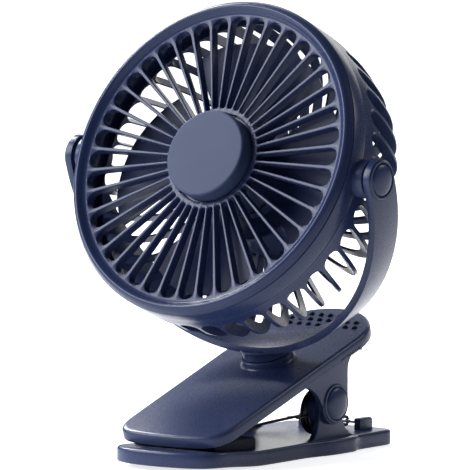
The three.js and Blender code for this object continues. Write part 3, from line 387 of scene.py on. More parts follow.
    @classmethod
    def moved(cls, obj: bpy.types.Object, matrix: Matrix) -> bpy.types.Object:
        """Moves an object's mesh by a matrix and leaves the object at the origin."""
        cls.pick(obj)
        obj.matrix_world = matrix @ obj.matrix_world
        bpy.ops.object.transform_apply(location=True, rotation=True, scale=True)
        return obj

    @classmethod
    def twin(cls, obj: bpy.types.Object) -> bpy.types.Object:
        """The mirror image of an object across X, with its faces turned outwards again."""
        other = obj.copy()
        other.data = obj.data.copy()
        bpy.context.collection.objects.link(other)
        cls.moved(other, Matrix.Scale(-1, 4, (1, 0, 0)))
        cls.edit(other)
        bpy.ops.mesh.normals_make_consistent(inside=False)
        bpy.ops.object.mode_set(mode="OBJECT")
        return other

    @classmethod
    def copied(cls, obj: bpy.types.Object, matrix: Matrix) -> bpy.types.Object:
        """A copy with its own mesh, moved by a matrix."""
        other = obj.copy()
        other.data = obj.data.copy()
        bpy.context.collection.objects.link(other)
        return cls.moved(other, matrix)


# ---------------------------------------------------------------- finishes
Colour = tuple[float, float, float]


@dataclass(frozen=True)
class Moulded:
    """Satin moulded plastic or rubber: a fine spark-eroded grain, faint clouding and a painted highlight that
    makes convex edges paler.
    """

    name: str
    colour: Colour
    deep: Colour
    # colour of the painted highlight laid on convex edges
    edge: Colour
    roughness: float = 0.4
    gloss: float = 0.45
    grain: float = 0.35
    relief: float = 0.02
    # how strongly the painted edge highlight shows
    painted_edge_highlight: float = 0.25


@dataclass(frozen=True)
class Metal:
    """Drawn or turned metal with fine marks along one direction."""

    name: str
    colour: Colour
    deep: Colour
    roughness: float = 0.3
    marks: Point = (0.1, 1.0, 1.0)


@dataclass(frozen=True)
class Board:
    """Circuit board lacquer over fine copper lines."""

    name: str
    colour: Colour
    line: Colour


@dataclass(frozen=True)
class Clear:
    """A small frosted light guide."""

    name: str
    colour: Colour


# The third colour of each moulded finish is the painted highlight laid on convex edges.
NAVY = Moulded("navy_plastic", (0.020, 0.032, 0.094), (0.016, 0.027, 0.080), (0.100, 0.130, 0.245),
               roughness=0.28, gloss=0.24)
NAVY_DISC = Moulded("disc_plastic", (0.037, 0.054, 0.122), (0.033, 0.049, 0.111), (0.090, 0.115, 0.205),
                    roughness=0.5, gloss=0.2, grain=0.5, relief=0.03)
NAVY_DARK = Moulded("impeller_plastic", (0.014, 0.023, 0.076), (0.011, 0.018, 0.062), (0.045, 0.060, 0.140),
                    roughness=0.34, gloss=0.15)
RUBBER = Moulded("dark_rubber", (0.010, 0.013, 0.027), (0.008, 0.010, 0.021), (0.026, 0.030, 0.048),
                 roughness=0.72, gloss=0.2, grain=0.6, relief=0.05)
STEEL = Metal("bright_steel", (0.56, 0.58, 0.61), (0.44, 0.46, 0.50))
SPRING_STEEL = Metal("black_spring_steel", (0.028, 0.029, 0.033), (0.016, 0.017, 0.020), roughness=0.3,
                     marks=(0.6, 1.0, 0.6))
BOARD = Board("board_lacquer", (0.010, 0.085, 0.042), (0.035, 0.190, 0.090))
WRAP = Moulded("cell_wrap", (0.25, 0.30, 0.38), (0.20, 0.25, 0.33), (0.40, 0.45, 0.52), roughness=0.35)
LENS = Clear("light_guide", (0.74, 0.82, 0.92))


class Recipe:
    """Builds one node material."""

    def __init__(self, name: str) -> None:
        """Starts a material with a plain shader."""
        self.material = bpy.data.materials.new(name)
        self.material.use_nodes = True
        self.tree = self.material.node_tree
        self.shader = self.tree.nodes["Principled BSDF"]
        self.place = self.node("ShaderNodeTexCoord").outputs["Object"]

    def node(self, kind: str, **settings: object) -> bpy.types.Node:
        """A new node with its settings."""
        made = self.tree.nodes.new(kind)
        for key, value in settings.items():
            setattr(made, key, value)
        return made

    def wire(self, source: bpy.types.NodeSocket, node: bpy.types.Node, socket: str | int) -> None:
        """Links a socket to a node's input."""
        self.tree.links.new(source, node.inputs[socket])

    def noise(self, size: float, detail: float = 2.0, stretch: Point = (1, 1, 1)) -> bpy.types.NodeSocket:
        """A noise pattern.

        Args:
            size: size of its spots in millimetres.
            detail: how many finer layers it has.
            stretch: scale along each axis, less than 1 to draw the spots out.

        Returns:
            The socket with values from 0 to 1.
        """
        mapping = self.node("ShaderNodeMapping")
        mapping.inputs["Scale"].default_value = stretch
        self.wire(self.place, mapping, "Vector")
        texture = self.node("ShaderNodeTexNoise")
        texture.inputs["Scale"].default_value = 1 / (size * MM)
        texture.inputs["Detail"].default_value = detail
        self.wire(mapping.outputs["Vector"], texture, "Vector")
        return texture.outputs["Fac"]

    def spread(self, value: bpy.types.NodeSocket, source: Spot, target: Spot) -> bpy.types.NodeSocket:
        """Maps one range of values to another."""
        node = self.node("ShaderNodeMapRange")
        for key, number in zip(("From Min", "From Max", "To Min", "To Max"), source + target):
            node.inputs[key].default_value = number
        self.wire(value, node, "Value")
        return node.outputs["Result"]

    def blend(self, factor: bpy.types.NodeSocket, first: Colour | bpy.types.NodeSocket,
              second: Colour) -> bpy.types.NodeSocket:
        """Mixes two colours by a factor; the first may be a socket."""
        node = self.node("ShaderNodeMix", data_type="RGBA")
        self.wire(factor, node, 0)
        if isinstance(first, tuple):
            node.inputs[6].default_value = (*first, 1)
        else:
            self.wire(first, node, 6)
        node.inputs[7].default_value = (*second, 1)
        return node.outputs[2]

    def bump(self, height: bpy.types.NodeSocket, depth: float, strength: float) -> None:
        """Gives the surface a relief of a depth in millimetres."""
        node = self.node("ShaderNodeBump")
        node.inputs["Distance"].default_value = depth * MM
        node.inputs["Strength"].default_value = strength
        self.wire(height, node, "Height")
        self.wire(node.outputs["Normal"], self.shader, "Normal")

    def edges(self) -> bpy.types.NodeSocket:
        """How far a spot stands out as an edge, from 0 to 1; the mask for the painted edge highlight."""
        geometry = self.node("ShaderNodeNewGeometry")
        return self.spread(geometry.outputs["Pointiness"], (0.50, 0.60), (0.0, 1.0))


class Dresser:
    """Makes each finish once and lays it on pieces."""

    def __init__(self) -> None:
        """Starts with no materials."""
        self.made: dict[str, bpy.types.Material] = {}

    def moulded(self, finish: Moulded) -> bpy.types.Material:
        """Moulded plastic or rubber."""
        recipe = Recipe(finish.name)
        grain = recipe.noise(finish.grain, 3)
        cloud = recipe.noise(38, 2)
        colour = recipe.blend(recipe.spread(cloud, (0.35, 0.65), (0, 1)), finish.colour, finish.deep)
        # Convex edges get a paler colour: a painted highlight standing in for the glints on edges.
        edge_highlight_share = recipe.node("ShaderNodeMath", operation="MULTIPLY")
        recipe.wire(recipe.edges(), edge_highlight_share, 0)
        edge_highlight_share.inputs[1].default_value = finish.painted_edge_highlight
        colour = recipe.blend(edge_highlight_share.outputs[0], colour, finish.edge)
        recipe.wire(colour, recipe.shader, "Base Color")
        rough = recipe.spread(grain, (0.3, 0.7), (finish.roughness - 0.05, finish.roughness + 0.06))
        recipe.wire(rough, recipe.shader, "Roughness")
        recipe.shader.inputs["Specular IOR Level"].default_value = finish.gloss
        recipe.bump(grain, finish.relief, 0.35)
        return recipe.material

    def metal(self, finish: Metal) -> bpy.types.Material:
        """Drawn or turned metal."""
        recipe = Recipe(finish.name)
        marks = recipe.noise(0.25, 4, finish.marks)
        recipe.wire(recipe.blend(marks, finish.colour, finish.deep), recipe.shader, "Base Color")
        rough = recipe.spread(marks, (0.3, 0.7), (finish.roughness - 0.06, finish.roughness + 0.1))
        recipe.wire(rough, recipe.shader, "Roughness")
        recipe.shader.inputs["Metallic"].default_value = 1.0
        recipe.bump(marks, 0.01, 0.3)
        return recipe.material

    def board(self, finish: Board) -> bpy.types.Material:
        """Lacquered board with copper lines under it."""
        recipe = Recipe(finish.name)
        lines = recipe.node("ShaderNodeTexBrick")
        lines.inputs["Scale"].default_value = 1 / (3.2 * MM)
        lines.inputs["Mortar Size"].default_value = 0.07
        lines.inputs["Color1"].default_value = (0, 0, 0, 1)
        lines.inputs["Color2"].default_value = (0, 0, 0, 1)
        lines.inputs["Mortar"].default_value = (1, 1, 1, 1)
        recipe.wire(recipe.place, lines, "Vector")
        colour = recipe.blend(lines.outputs["Color"], finish.colour, finish.line)
        recipe.wire(colour, recipe.shader, "Base Color")
        recipe.shader.inputs["Roughness"].default_value = 0.28
        recipe.bump(lines.outputs["Color"], 0.03, 0.6)
        return recipe.material

    def clear(self, finish: Clear) -> bpy.types.Material:
        """Frosted light guide."""
        recipe = Recipe(finish.name)
        frost = recipe.noise(0.3, 2)
        pale = tuple(0.92 * c for c in finish.colour)
        recipe.wire(recipe.blend(frost, finish.colour, pale), recipe.shader, "Base Color")
        recipe.wire(recipe.spread(frost, (0.3, 0.7), (0.16, 0.3)), recipe.shader, "Roughness")
        recipe.shader.inputs["Transmission Weight"].default_value = 0.35
        recipe.bump(frost, 0.01, 0.3)
        return recipe.material

    def lay(self, obj: bpy.types.Object, finish: Moulded | Metal | Board | Clear) -> None:
        """Lays a finish on every slot of an object.

        Args:
            obj: the piece or carried-over node.
            finish: what it is made of.
        """
        if finish.name not in self.made:
            makers: dict[type, Callable] = {
                Moulded: self.moulded, Metal: self.metal, Board: self.board, Clear: self.clear}
            self.made[finish.name] = makers[type(finish)](finish)
        obj.data.materials.clear()
        obj.data.materials.append(self.made[finish.name])


@dataclass
class SubAssembly:
    """What every sub-assembly shares: the dresser and the way that a piece is seated."""

    dresser: Dresser

    def seat(self, obj: bpy.types.Object, name: str, place: Place, body: str, finish: object,
             nodes: Sequence[str], smooth: float = 38) -> bpy.types.Object:
        """Seats, dresses and names a finished piece and ties it to its body.

        Args:
            obj: the piece, drawn in millimetres.
            name: its name.
            place: the frame that it was drawn in.
            body: the body that it rides on.
            finish: what it is made of.
            nodes: the CAD nodes that it stands for.
            smooth: edges flatter than this many degrees shade smoothly.

        Returns:
            The seated piece.
        """
        obj.name = obj.data.name = name
        Bench.moved(obj, LAYOUT.matrix(place))
        bpy.ops.object.shade_smooth_by_angle(angle=math.radians(smooth))
        self.dresser.lay(obj, finish)
        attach(obj, body)
        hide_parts(*nodes)
        LOG.info("%s: %d faces on %s", name, len(obj.data.polygons), body)
        return obj


# ---------------------------------------------------------------- fan head
@dataclass
class FrontGrille(SubAssembly):
    """Flat ribs between a hub ring and a raised rim bead."""

    ribs: int = 40
    face: float = 13.0
    depth: float = 4.5
    rim: float = 72.5
    lip: float = 0.6
    crown: float = 2.6
    skirt: float = 70.0
    hub: float = 22.6
    hub_in: float = 20.6
    rib_in: float = 1.1
    rib_out: float = 1.8
    slot_out: float = 65.2
    slot_round: float = 4.2
    web: float = 1.5

    def profile(self) -> list[Spot]:
        """Section of the ring before its slots are cut, as radius and height."""
        back, lip = self.face - self.depth, self.face - self.lip
        crest = self.face + self.crown
        bead = through([(self.slot_out + 0.8, self.face), (67.1, self.face + 0.5), (68.4, crest - 0.7),
                        (69.4, crest), (70.5, crest - 0.3), (71.3, crest - 1.1), (71.9, crest - 2.1),
                        (self.rim, lip)], 4)
        inner = [(self.hub_in, back), (self.hub_in, self.face - 0.5), (self.hub_in + 0.15, self.face - 0.15),
                 (self.hub_in + 0.5, self.face), (self.hub + 0.6, self.face)]
        steps = [(r, self.face) for r in (30, 38, 46, 54, 61)]
        return inner + steps + bead + [(self.rim - 0.15, lip - 0.15), (self.skirt, lip - 0.15),
                                       (self.skirt, back)]

    def slot(self, grow: float, height: float) -> Ring:
        """Outline of the slot on the X axis at one height.

        Args:
            grow: how much wider it is than the slot's narrowest part.
            height: its Z.

        Returns:
            The closed ring.
        """
        def half(r: float) -> float:
            share = (r - self.hub) / (self.slot_out - self.hub)
            rib = self.rib_in + (self.rib_out - self.rib_in) * share
            return r * math.pi / self.ribs - rib / 2 + grow

        near = self.hub + 0.5 - grow
        bend = self.slot_out - self.slot_round
        side = [(near, half(near) * 0.42), (near + 0.35, half(near) * 0.8), (near + 1.0, half(near + 1.0))]
        side += [(bend + (near + 1 - bend) * t, half(bend + (near + 1 - bend) * t)) for t in (0.6, 0.3, 0.0)]
        wide = half(bend)
        for turn in (72, 56, 42, 29, 17, 6):
            t = math.radians(turn)
            side.append((bend + (self.slot_round + grow) * math.cos(t) ** 0.92, wide * math.sin(t) ** 0.92))
        other = [(r, -w) for r, w in reversed(side)]
        return [(r, w, height) for r, w in side + other]

    def build(self) -> None:
        """Turns the ring, cuts the slots and adds the web behind the hub disc."""
        ring = Bench.turned(self.profile(), self.ribs * 4)
        back = self.face - self.depth
        levels = [(0.25, back - 1), (0.25, back), (0.0, back + 0.3), (0.0, self.face - 0.55),
                  (0.06, self.face - 0.3), (0.2, self.face - 0.1), (0.36, self.face), (0.42, self.face + 0.6)]
        cutter = Bench.skin([self.slot(grow, height) for grow, height in levels])
        turn = math.pi / self.ribs
        Bench.moved(cutter, Matrix.Rotation(turn, 4, "Z"))
        Bench.around(cutter, self.ribs)
        Bench.boolean(ring, cutter)
        notch = Bench.slab(fillet([(self.hub_in - 0.6, -0.9), (self.hub_in + 0.55, -0.9),
                                   (self.hub_in + 0.55, 0.9), (self.hub_in - 0.6, 0.9)], [0, 0.5, 0.5, 0], 3),
                           self.face - 1.2, self.face + 1)
        Bench.around(notch, self.ribs // 2)
        Bench.boolean(ring, notch)
        web = Bench.turned([(0, back), (self.hub_in + 0.1, back), (self.hub_in + 0.1, back + self.web),
                            (0, back + self.web)], self.ribs * 2, closed=False)
        whole = Bench.together(ring, web)
        self.seat(whole, "grille_ribs", Place.HEAD, "head", NAVY, ["front_grille"], 32)


@dataclass
class HubDisc(SubAssembly):
    """Plain round cap in the middle of the grille."""

    radius: float = 19.7
    top: float = 19.5
    foot: float = 10.3
    wall: float = 1.8

    def build(self) -> None:
        """Turns the cap with a fine step and a soft edge."""
        edge = arc((self.radius - 0.9, self.top - 0.9), 0.9, 0, 90, 5)
        inside = self.radius - self.wall
        profile = [(0, self.top - self.wall), (inside, self.top - self.wall), (inside, self.foot),
                   (self.radius, self.foot), (self.radius, self.foot + 3)] + edge
        profile += [(self.radius - 1.5, self.top + 0.02), (12, self.top + 0.02), (6, self.top), (0, self.top)]
        cap = Bench.turned(profile, 120, closed=False)
        self.seat(cap, "hub_cap", Place.HEAD, "head", NAVY_DISC, ["hub_disc"])


@dataclass
class HeadShell(SubAssembly):
    """Side wall between the grille and the rear basket."""

    radius: float = 72.5
    wall: float = 2.2
    rear: float = 2.6
    front: float = 11.6

    def build(self) -> None:
        """Turns the wall with soft edges at its two seams."""
        inside = self.radius - self.wall
        profile = [(inside, self.rear), (self.radius - 0.35, self.rear),
                   (self.radius - 0.08, self.rear + 0.12), (self.radius, self.rear + 0.4),
                   (self.radius, (self.rear + self.front) / 2), (self.radius, self.front - 0.6),
                   (self.radius - 0.12, self.front - 0.18), (self.radius - 0.5, self.front),
                   (inside, self.front)]
        wall = Bench.turned(profile, 160)
        self.seat(wall, "shell_wall", Place.HEAD, "head", NAVY, ["front_shell"])


@dataclass
class RearBasket(SubAssembly):
    """Domed back with leaning slots, the two tilt bosses and the housing for motor and battery."""

    ribs: int = 40
    band: float = 72.3
    band_front: float = 2.3
    wall: float = 2.2
    rib_depth: float = 5.0
    depth: float = 44.6
    rib_width: float = 2.0
    lean: float = 12.0
    slot_front: float = -2.9
    pod: float = 26.0
    pod_wall: float = 1.8
    pod_floor: float = -23.0
    pod_edge: float = -45.2
    boss: float = 8.6
    boss_out: float = 77.8
    screw: float = 2.3
    posts: Sequence[float] = (0, 90, 180)

    def line(self) -> list[Spot]:
        """Outer line from the front of the band to the housing, as radius and height."""
        return through([(self.band, self.band_front), (self.band, -2.6), (72.0, -8.0), (70.7, -19.0),
                        (66.5, -32.5), (58.5, -40.1), (45.5, -44.0), (35.0, -44.5),
                        (self.pod - 1, -self.depth)], 4)

    def shifted(self, line: list[Spot], depth: float) -> list[Spot]:
        """The line moved inwards by a depth, outwards where it is negative."""
        out = []
        for i, (r, z) in enumerate(line):
            (r0, z0), (r1, z1) = line[max(i - 1, 0)], line[min(i + 1, len(line) - 1)]
            run = math.hypot(r1 - r0, z1 - z0)
            out.append((r + depth * (z1 - z0) / run, z + depth * (r0 - r1) / run))
        return out

    def inside_line(self) -> list[Spot]:
        """Inner line: a thin band in front, and deep ribs from the slots' front ends on."""
        deep = [p for p in self.shifted(self.line(), self.rib_depth) if p[1] < self.slot_front]
        thin, step = self.band - self.wall, self.slot_front + 0.6
        return [(thin, self.band_front), (thin, step), (deep[0][0], step)] + deep

    def cutter(self) -> bpy.types.Object:
        """One slot: a bar swept along the line, leaning all the way, round at its front end."""
        line = [p for p in self.line() if p[1] < self.slot_front]
        line = [(line[0][0], self.slot_front)] + line[:-1] + [(self.pod + 0.4, -self.depth)]
        layers = [self.shifted(line, d) for d in (-2.0, 0.0, 0.35, self.rib_depth, self.rib_depth + 2.5)]
        flare = (0.55, 0.32, 0.0, 0.3, 0.4)
        rings, wind, run = [], 0.0, 0.0
        for i, (r, z) in enumerate(line):
            r0, z0 = line[max(i - 1, 0)]
            step = math.hypot(r - r0, z - z0)
            run += step
            wind += math.tan(math.radians(self.lean)) * step / ((r + r0) / 2)
            full = r * math.pi / self.ribs - self.rib_width / 2
            half = full * math.sqrt(max(1 - max(1 - run / (full * 1.1), 0) ** 2, 0.012))
            c, s = math.cos(-wind), math.sin(-wind)
            ring = []
            for sign, order in ((1, range(5)), (-1, reversed(range(5)))):
                for k in order:
                    rr, zz = layers[k][i]
                    side = sign * (half + flare[k])
                    ring.append((rr * c - side * s, rr * s + side * c, zz))
            rings.append(ring)
        return Bench.skin(rings)

    def tilt_boss(self) -> bpy.types.Object:
        """Round boss on the +X side that the yoke's arm is screwed to."""
        profile = [(0, 69.5), (self.boss, 69.5), (self.boss, self.boss_out - 0.5),
                   (self.boss - 0.15, self.boss_out - 0.15), (self.boss - 0.5, self.boss_out),
                   (self.screw, self.boss_out), (self.screw, self.boss_out - 4), (0, self.boss_out - 4)]
        return Bench.turned(profile, 48, closed=False, centre=(0, 0, 0))

    def build(self) -> None:
        """Turns the shell, cuts the slots and adds the housing, its posts and the bosses."""
        shell = Bench.turned(self.line() + self.inside_line()[::-1], self.ribs * 4)
        cutter = self.cutter()
        Bench.moved(cutter, Matrix.Rotation(math.radians(360 * 0.75 / self.ribs), 4, "Z"))
        Bench.around(cutter, self.ribs)
        Bench.boolean(shell, cutter)
        inside = self.pod - self.pod_wall
        floor = self.pod_floor - self.pod_wall
        pod = Bench.turned([(0, self.pod_floor), (self.pod - 0.8, self.pod_floor),
                            (self.pod, self.pod_floor - 0.8), (self.pod, self.pod_edge + 0.3),
                            (self.pod - 0.3, self.pod_edge), (inside, self.pod_edge), (inside, floor),
                            (0, floor)], 96, closed=False)
        seat = Bench.turned([(13.8, self.pod_floor - 0.5), (15.4, self.pod_floor - 0.5), (15.4, -19.2),
                             (15.2, -19.0), (14.0, -19.0), (13.8, -19.2)], 64)
        posts = []
        for angle in self.posts:
            post = Bench.turned([(1.3, -43.6), (2.1, -43.6), (2.1, floor + 0.5), (1.3, floor + 0.5)], 20)
            x, y = arc((0, 0), inside - 2.9, angle, angle, 1)[0]
            posts.append(Bench.moved(post, Matrix.Translation((x, y, 0))))
        boss = self.tilt_boss()
        whole = Bench.together(shell, pod, seat, boss, Bench.twin(boss), *posts)
        self.seat(whole, "basket_ribs", Place.HEAD, "head", NAVY, ["rear_basket"], 30)


@dataclass
class RearLid(SubAssembly):
    """Lid on the back of the housing with its push button, light guide and three screws."""

    radius: float = 26.0
    inside: float = 23.9
    front: float = -44.6
    step: float = -45.5
    rear: float = -47.7
    button: float = 6.0
    button_rise: float = 1.0
    light: float = 1.0
    light_at: float = 12.0
    screw_at: float = 21.3
    screw_head: float = 1.9
    port_at: float = -13.0
    port: Spot = (9.6, 3.8)

    def build(self) -> None:
        """Turns the lid, sinks its holes and adds what sits in them."""
        back = self.rear
        profile = [(self.button + 0.3, self.front), (self.inside, self.front), (self.inside, self.step),
                   (self.radius, self.step), (self.radius, back + 1.0)]
        profile += arc((self.radius - 1.0, back + 1.0), 1.0, 0, -90, 4)
        profile += [(12.2, back), (11.9, back + 0.25), (11.3, back + 0.25), (11.0, back), (9.4, back),
                    (8.0, back + 0.35), (self.button + 0.7, back + 0.45), (self.button + 0.3, back + 0.7)]
        lid = Bench.turned(profile, 96)
        spots = [arc((0, 0), self.screw_at, a, a, 1)[0] for a in (0, 90, 180)]
        for x, y in spots:
            sink = Bench.turned([(0, back + 1), (2.2, back + 1), (2.2, back + 0.3), (2.6, back - 1),
                                 (0, back - 1)], 32, closed=False)
            Bench.boolean(lid, Bench.moved(sink, Matrix.Translation((x, y, 0))))
        hole = Bench.turned([(0, back - 1), (1.3, back - 1), (1.3, self.front + 1), (0, self.front + 1)], 24,
                            closed=False)
        Bench.boolean(lid, Bench.moved(hole, Matrix.Translation((0, self.light_at, 0))))
        x, y = self.port[0] / 2, self.port[1] / 2
        corners = [(x, y), (-x, y), (-x, -y), (x, -y)]
        for grow, low, high in ((0.0, back - 1, self.front + 1), (0.5, back - 1, back + 0.25)):
            outline = [(cx + math.copysign(grow, cx), self.port_at + cy + math.copysign(grow, cy))
                       for cx, cy in corners]
            Bench.boolean(lid, Bench.slab(fillet(outline, [0.3 + grow] * 4, 4), low, high))
        self.seat(lid, "housing_lid", Place.HEAD, "head", NAVY, ["rear_lid"])

        top = back - self.button_rise
        cap = [(0, top + 0.35), (2.5, top + 0.28), (4.4, top + 0.08), (5.2, top)]
        cap += arc((self.button - 0.5, top + 0.5), 0.5, -90, 0, 3)
        cap += [(self.button, -44.3), (7.2, -44.3), (7.2, -43.7), (0, -43.7)]
        button = Bench.turned(cap, 72, closed=False)
        self.seat(button, "push_button", Place.HEAD, "button", NAVY_DISC, ["power_button"])

        guide = Bench.turned([(0, -42.7), (self.light, -42.7), (self.light, back + 0.15), (0.8, back - 0.02),
                              (0, back - 0.05)], 24, closed=False)
        Bench.moved(guide, Matrix.Translation((0, self.light_at, 0)))
        self.seat(guide, "light_window", Place.HEAD, "head", LENS, ["indicator_lens"])
        for k, (x, y) in enumerate(spots, 1):
            screw = fixing_screw(self.screw_head, 0.8, 1.0, 6.0)
            matrix = Matrix.Translation((x, y, back + 0.7)) @ Matrix.Rotation(math.pi, 4, "X")
            Bench.moved(screw, matrix)
            self.seat(screw, f"lid_fixing_{k}", Place.HEAD, "head", STEEL, [f"lid_screw_{k}"])


def fixing_screw(head: float, thick: float, shank: float, length: float) -> bpy.types.Object:
    """A pan-head screw along -Z with a cross recess, its head's underside at Z 0.

    Args:
        head: radius of the head.
        thick: height of the head.
        shank: radius of the shank.
        length: length of the shank.

    Returns:
        The screw.
    """
    profile = [(0, -length), (shank * 0.6, -length), (shank, -length + 0.6), (shank, 0), (head, 0),
               (head, thick * 0.35), (head * 0.93, thick * 0.68), (head * 0.75, thick * 0.92), (0, thick)]
    screw = Bench.turned(profile, 32, closed=False)
    for turn in (0, 90):
        arm = Bench.slab([(-head * 0.55, -head * 0.11), (head * 0.55, -head * 0.11),
                          (head * 0.55, head * 0.11), (-head * 0.55, head * 0.11)], thick * 0.35, thick + 1)
        Bench.boolean(screw, Bench.moved(arm, Matrix.Rotation(math.radians(turn + 20), 4, "Z")))
    return screw


@dataclass
class Rotor(SubAssembly):
    """Impeller with four broad blades."""

    tip: float = 58.0
    hub: float = 17.5
    front: float = 5.0
    rear: float = -13.0
    blades: int = 4
    first: float = 87.0
    span: float = 72.0
    rise: float = 6.8
    thick: float = 1.5
    cut: float = 5.0

    def blade(self) -> bpy.types.Object:
        """One blade, thin at its edges, between the hub and its tip."""
        rows, cols = 7, 10
        middle = (self.front + self.rear) / 2
        rings = []
        for i in range(rows + 1):
            t = i / rows
            r = self.hub - 1.2 + (self.tip - self.hub + 1.2) * t
            span = math.radians(self.span) * (0.78 + 0.22 * math.sin(t * math.pi / 2))
            rise = self.rise * (1 - 0.3 * t * t)
            front, back = [], []
            for j in range(cols + 1):
                u = j / cols
                inward = (self.cut * t**3 * max((u - 0.5) / 0.5, 0) ** 2
                          + 2.0 * t**3 * max(0.25 - u, 0) ** 2 * 16)
                angle = math.radians(self.first) + span * (0.5 - u)
                half = self.thick / 2 * (0.35 + 0.65 * math.sin(math.pi * min(max(u, 0.03), 0.97)) ** 0.6)
                x, y = (r - inward) * math.cos(angle), (r - inward) * math.sin(angle)
                z = middle + rise * math.cos(u * math.pi)
                front.append((x, y, z + half))
                back.insert(0, (x, y, z - half))
            rings.append(front + back)
        return Bench.skin(rings)

    def build(self) -> None:
        """Turns the hub and sets the blades round it."""
        inner = self.hub - 1.8
        face = self.front - 2.6
        hub = Bench.turned([(1.8, self.front), (self.hub - 1.6, self.front),
                            (self.hub - 0.5, self.front - 0.5), (self.hub, self.front - 1.6),
                            (self.hub, self.rear), (inner, self.rear), (inner, face), (4, face),
                            (4, face - 3), (1.8, face - 3)], 96)
        blade = self.blade()
        Bench.around(blade, self.blades)
        whole = Bench.together(hub, blade)
        self.seat(whole, "fan_blades", Place.HEAD, "rotor", NAVY_DARK, ["impeller"], 50)


@dataclass
class Works(SubAssembly):
    """Carried-over pieces inside the head and under the plate, which only need their finish."""

    finishes: dict[str, object] = field(default_factory=lambda: {
        "motor": STEEL, "motor_shaft": STEEL, "shaft_nut": STEEL, "circuit_board": BOARD,
        "charge_port": STEEL, "battery_cell": WRAP, "swivel_washer": STEEL, "swivel_screw": STEEL,
        "hinge_pin_right": STEEL, "hinge_pin_left": STEEL, "tilt_screw_right": STEEL, "tilt_screw_left": STEEL})

    def build(self) -> None:
        """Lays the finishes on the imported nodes."""
        for name, finish in self.finishes.items():
            self.dresser.lay(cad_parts[name], finish)


# ---------------------------------------------------------------- yoke
@dataclass
class Yoke(SubAssembly):
    """U-shaped band with round ends, its stem, caps and washers."""

    radius: float = 82.4
    drop: float = 2.5
    thick: float = 3.2
    half: float = 9.2
    stem: float = 10.5
    stand: float = 7.2
    collar: float = 3.2
    cap: float = 7.25
    cap_rise: float = 2.2
    ring: float = 1.0
    ring_rise: float = 0.8
    cap_foot: float = 82.0
    washer: float = 7.6

    def band(self) -> bpy.types.Object:
        """The band: a rectangle spun half way round, then drawn up to two round ends."""
        inner = self.radius - self.thick
        x, z, w = -self.radius, -self.drop, self.half
        obj = Bench.draw([[(x, -w, z), (x, w, z), (-inner, w, z), (-inner, -w, z)]])
        bpy.ops.mesh.edge_face_add()
        bpy.ops.mesh.spin(steps=96, angle=math.pi, center=(0, 0, z), axis=(0, 1, 0))
        self.round_end(obj, 1)
        self.round_end(obj, -1)
        Bench.close()
        Bench.bevel(obj, 0.9, 4, 50)
        return obj

    def round_end(self, obj: bpy.types.Object, side: int) -> None:
        """Draws one end of the band up past the tilt axis as a half circle.

        Args:
            obj: the band, in edit mode.
            side: 1 for the +X end, -1 for the other.
        """
        bpy.ops.object.mode_set(mode="OBJECT")
        for polygon in obj.data.polygons:
            level = abs(polygon.center.z + self.drop) < 0.01 and abs(polygon.normal.z) > 0.9
            polygon.select = level and polygon.center.x * side > self.radius - self.thick
        for edge in obj.data.edges:
            edge.select = False
        for vertex in obj.data.vertices:
            vertex.select = False
        for polygon in obj.data.polygons:
            if polygon.select:
                for index in polygon.vertices:
                    obj.data.vertices[index].select = True
        bpy.ops.object.mode_set(mode="EDIT")
        bpy.ops.mesh.select_mode(type="VERT")
        bpy.ops.mesh.extrude_region_move(TRANSFORM_OT_translate={"value": (0, 0, self.drop)})
        turns = [math.radians(a) for a in (0, 14, 28, 41, 53, 64, 74, 82, 87)]
        for before, after in zip(turns, turns[1:]):
            rise = self.half * (math.sin(after) - math.sin(before))
            bpy.ops.mesh.extrude_region_move(TRANSFORM_OT_translate={"value": (0, 0, rise)})
            bpy.ops.transform.resize(value=(1, math.cos(after) / math.cos(before), 1))

    def build(self) -> None:
        """Makes the band, stem, raised rings, caps and washers."""
        band = self.band()
        foot = -self.drop - self.radius
        low = foot - self.stand + self.collar + 0.3
        stem = Bench.turned([(2.8, low), (self.stem - 0.3, low), (self.stem, low + 0.3),
                             (self.stem, foot - 0.9), (self.stem + 0.25, foot - 0.35),
                             (self.stem + 1.0, foot + 0.3), (self.stem + 1.0, foot + 1.2), (2.8, foot + 1.2)],
                            72)
        edge = self.cap + 0.3
        top = self.radius + self.ring_rise
        ring = Bench.turned([(edge, 80.6), (edge, top - 0.25), (edge + 0.25, top),
                             (edge + self.ring - 0.25, top), (edge + self.ring, top - 0.3),
                             (edge + self.ring + 0.25, self.radius + 0.1), (edge + self.ring + 0.25, 80.6)],
                            64, centre=(0, 0, 0))
        bore = Bench.turned([(0, 80.4), (edge, 80.4), (edge, top + 1), (0, top + 1)], 64, closed=False,
                            centre=(0, 0, 0))
        Bench.boolean(band, Bench.copied(bore, Matrix.Identity(4)))
        Bench.boolean(band, Bench.twin(bore))
        bpy.data.objects.remove(bore, do_unlink=True)
        whole = Bench.together(band, stem, ring, Bench.twin(ring))
        self.seat(whole, "yoke_band", Place.YOKE, "yoke_arm", NAVY, ["yoke"], 35)
        cap = dome(self.cap, self.cap_foot, self.cap_rise, (0, 0, 0))
        other = Bench.twin(cap)
        self.seat(cap, "tilt_dome_right", Place.YOKE, "yoke_arm", NAVY, ["tilt_cap_right"])
        self.seat(other, "tilt_dome_left", Place.YOKE, "yoke_arm", NAVY, ["tilt_cap_left"])
        inner = self.radius - self.thick
        washer = Bench.turned([(2.3, inner - 1.1), (self.washer, inner - 1.1), (self.washer, inner - 0.3),
                               (2.3, inner - 0.3)], 48, centre=(0, 0, 0))
        other = Bench.twin(washer)
        self.seat(washer, "tilt_pad_right", Place.YOKE, "yoke_arm", RUBBER, ["tilt_washer_right"])
        self.seat(other, "tilt_pad_left", Place.YOKE, "yoke_arm", RUBBER, ["tilt_washer_left"])


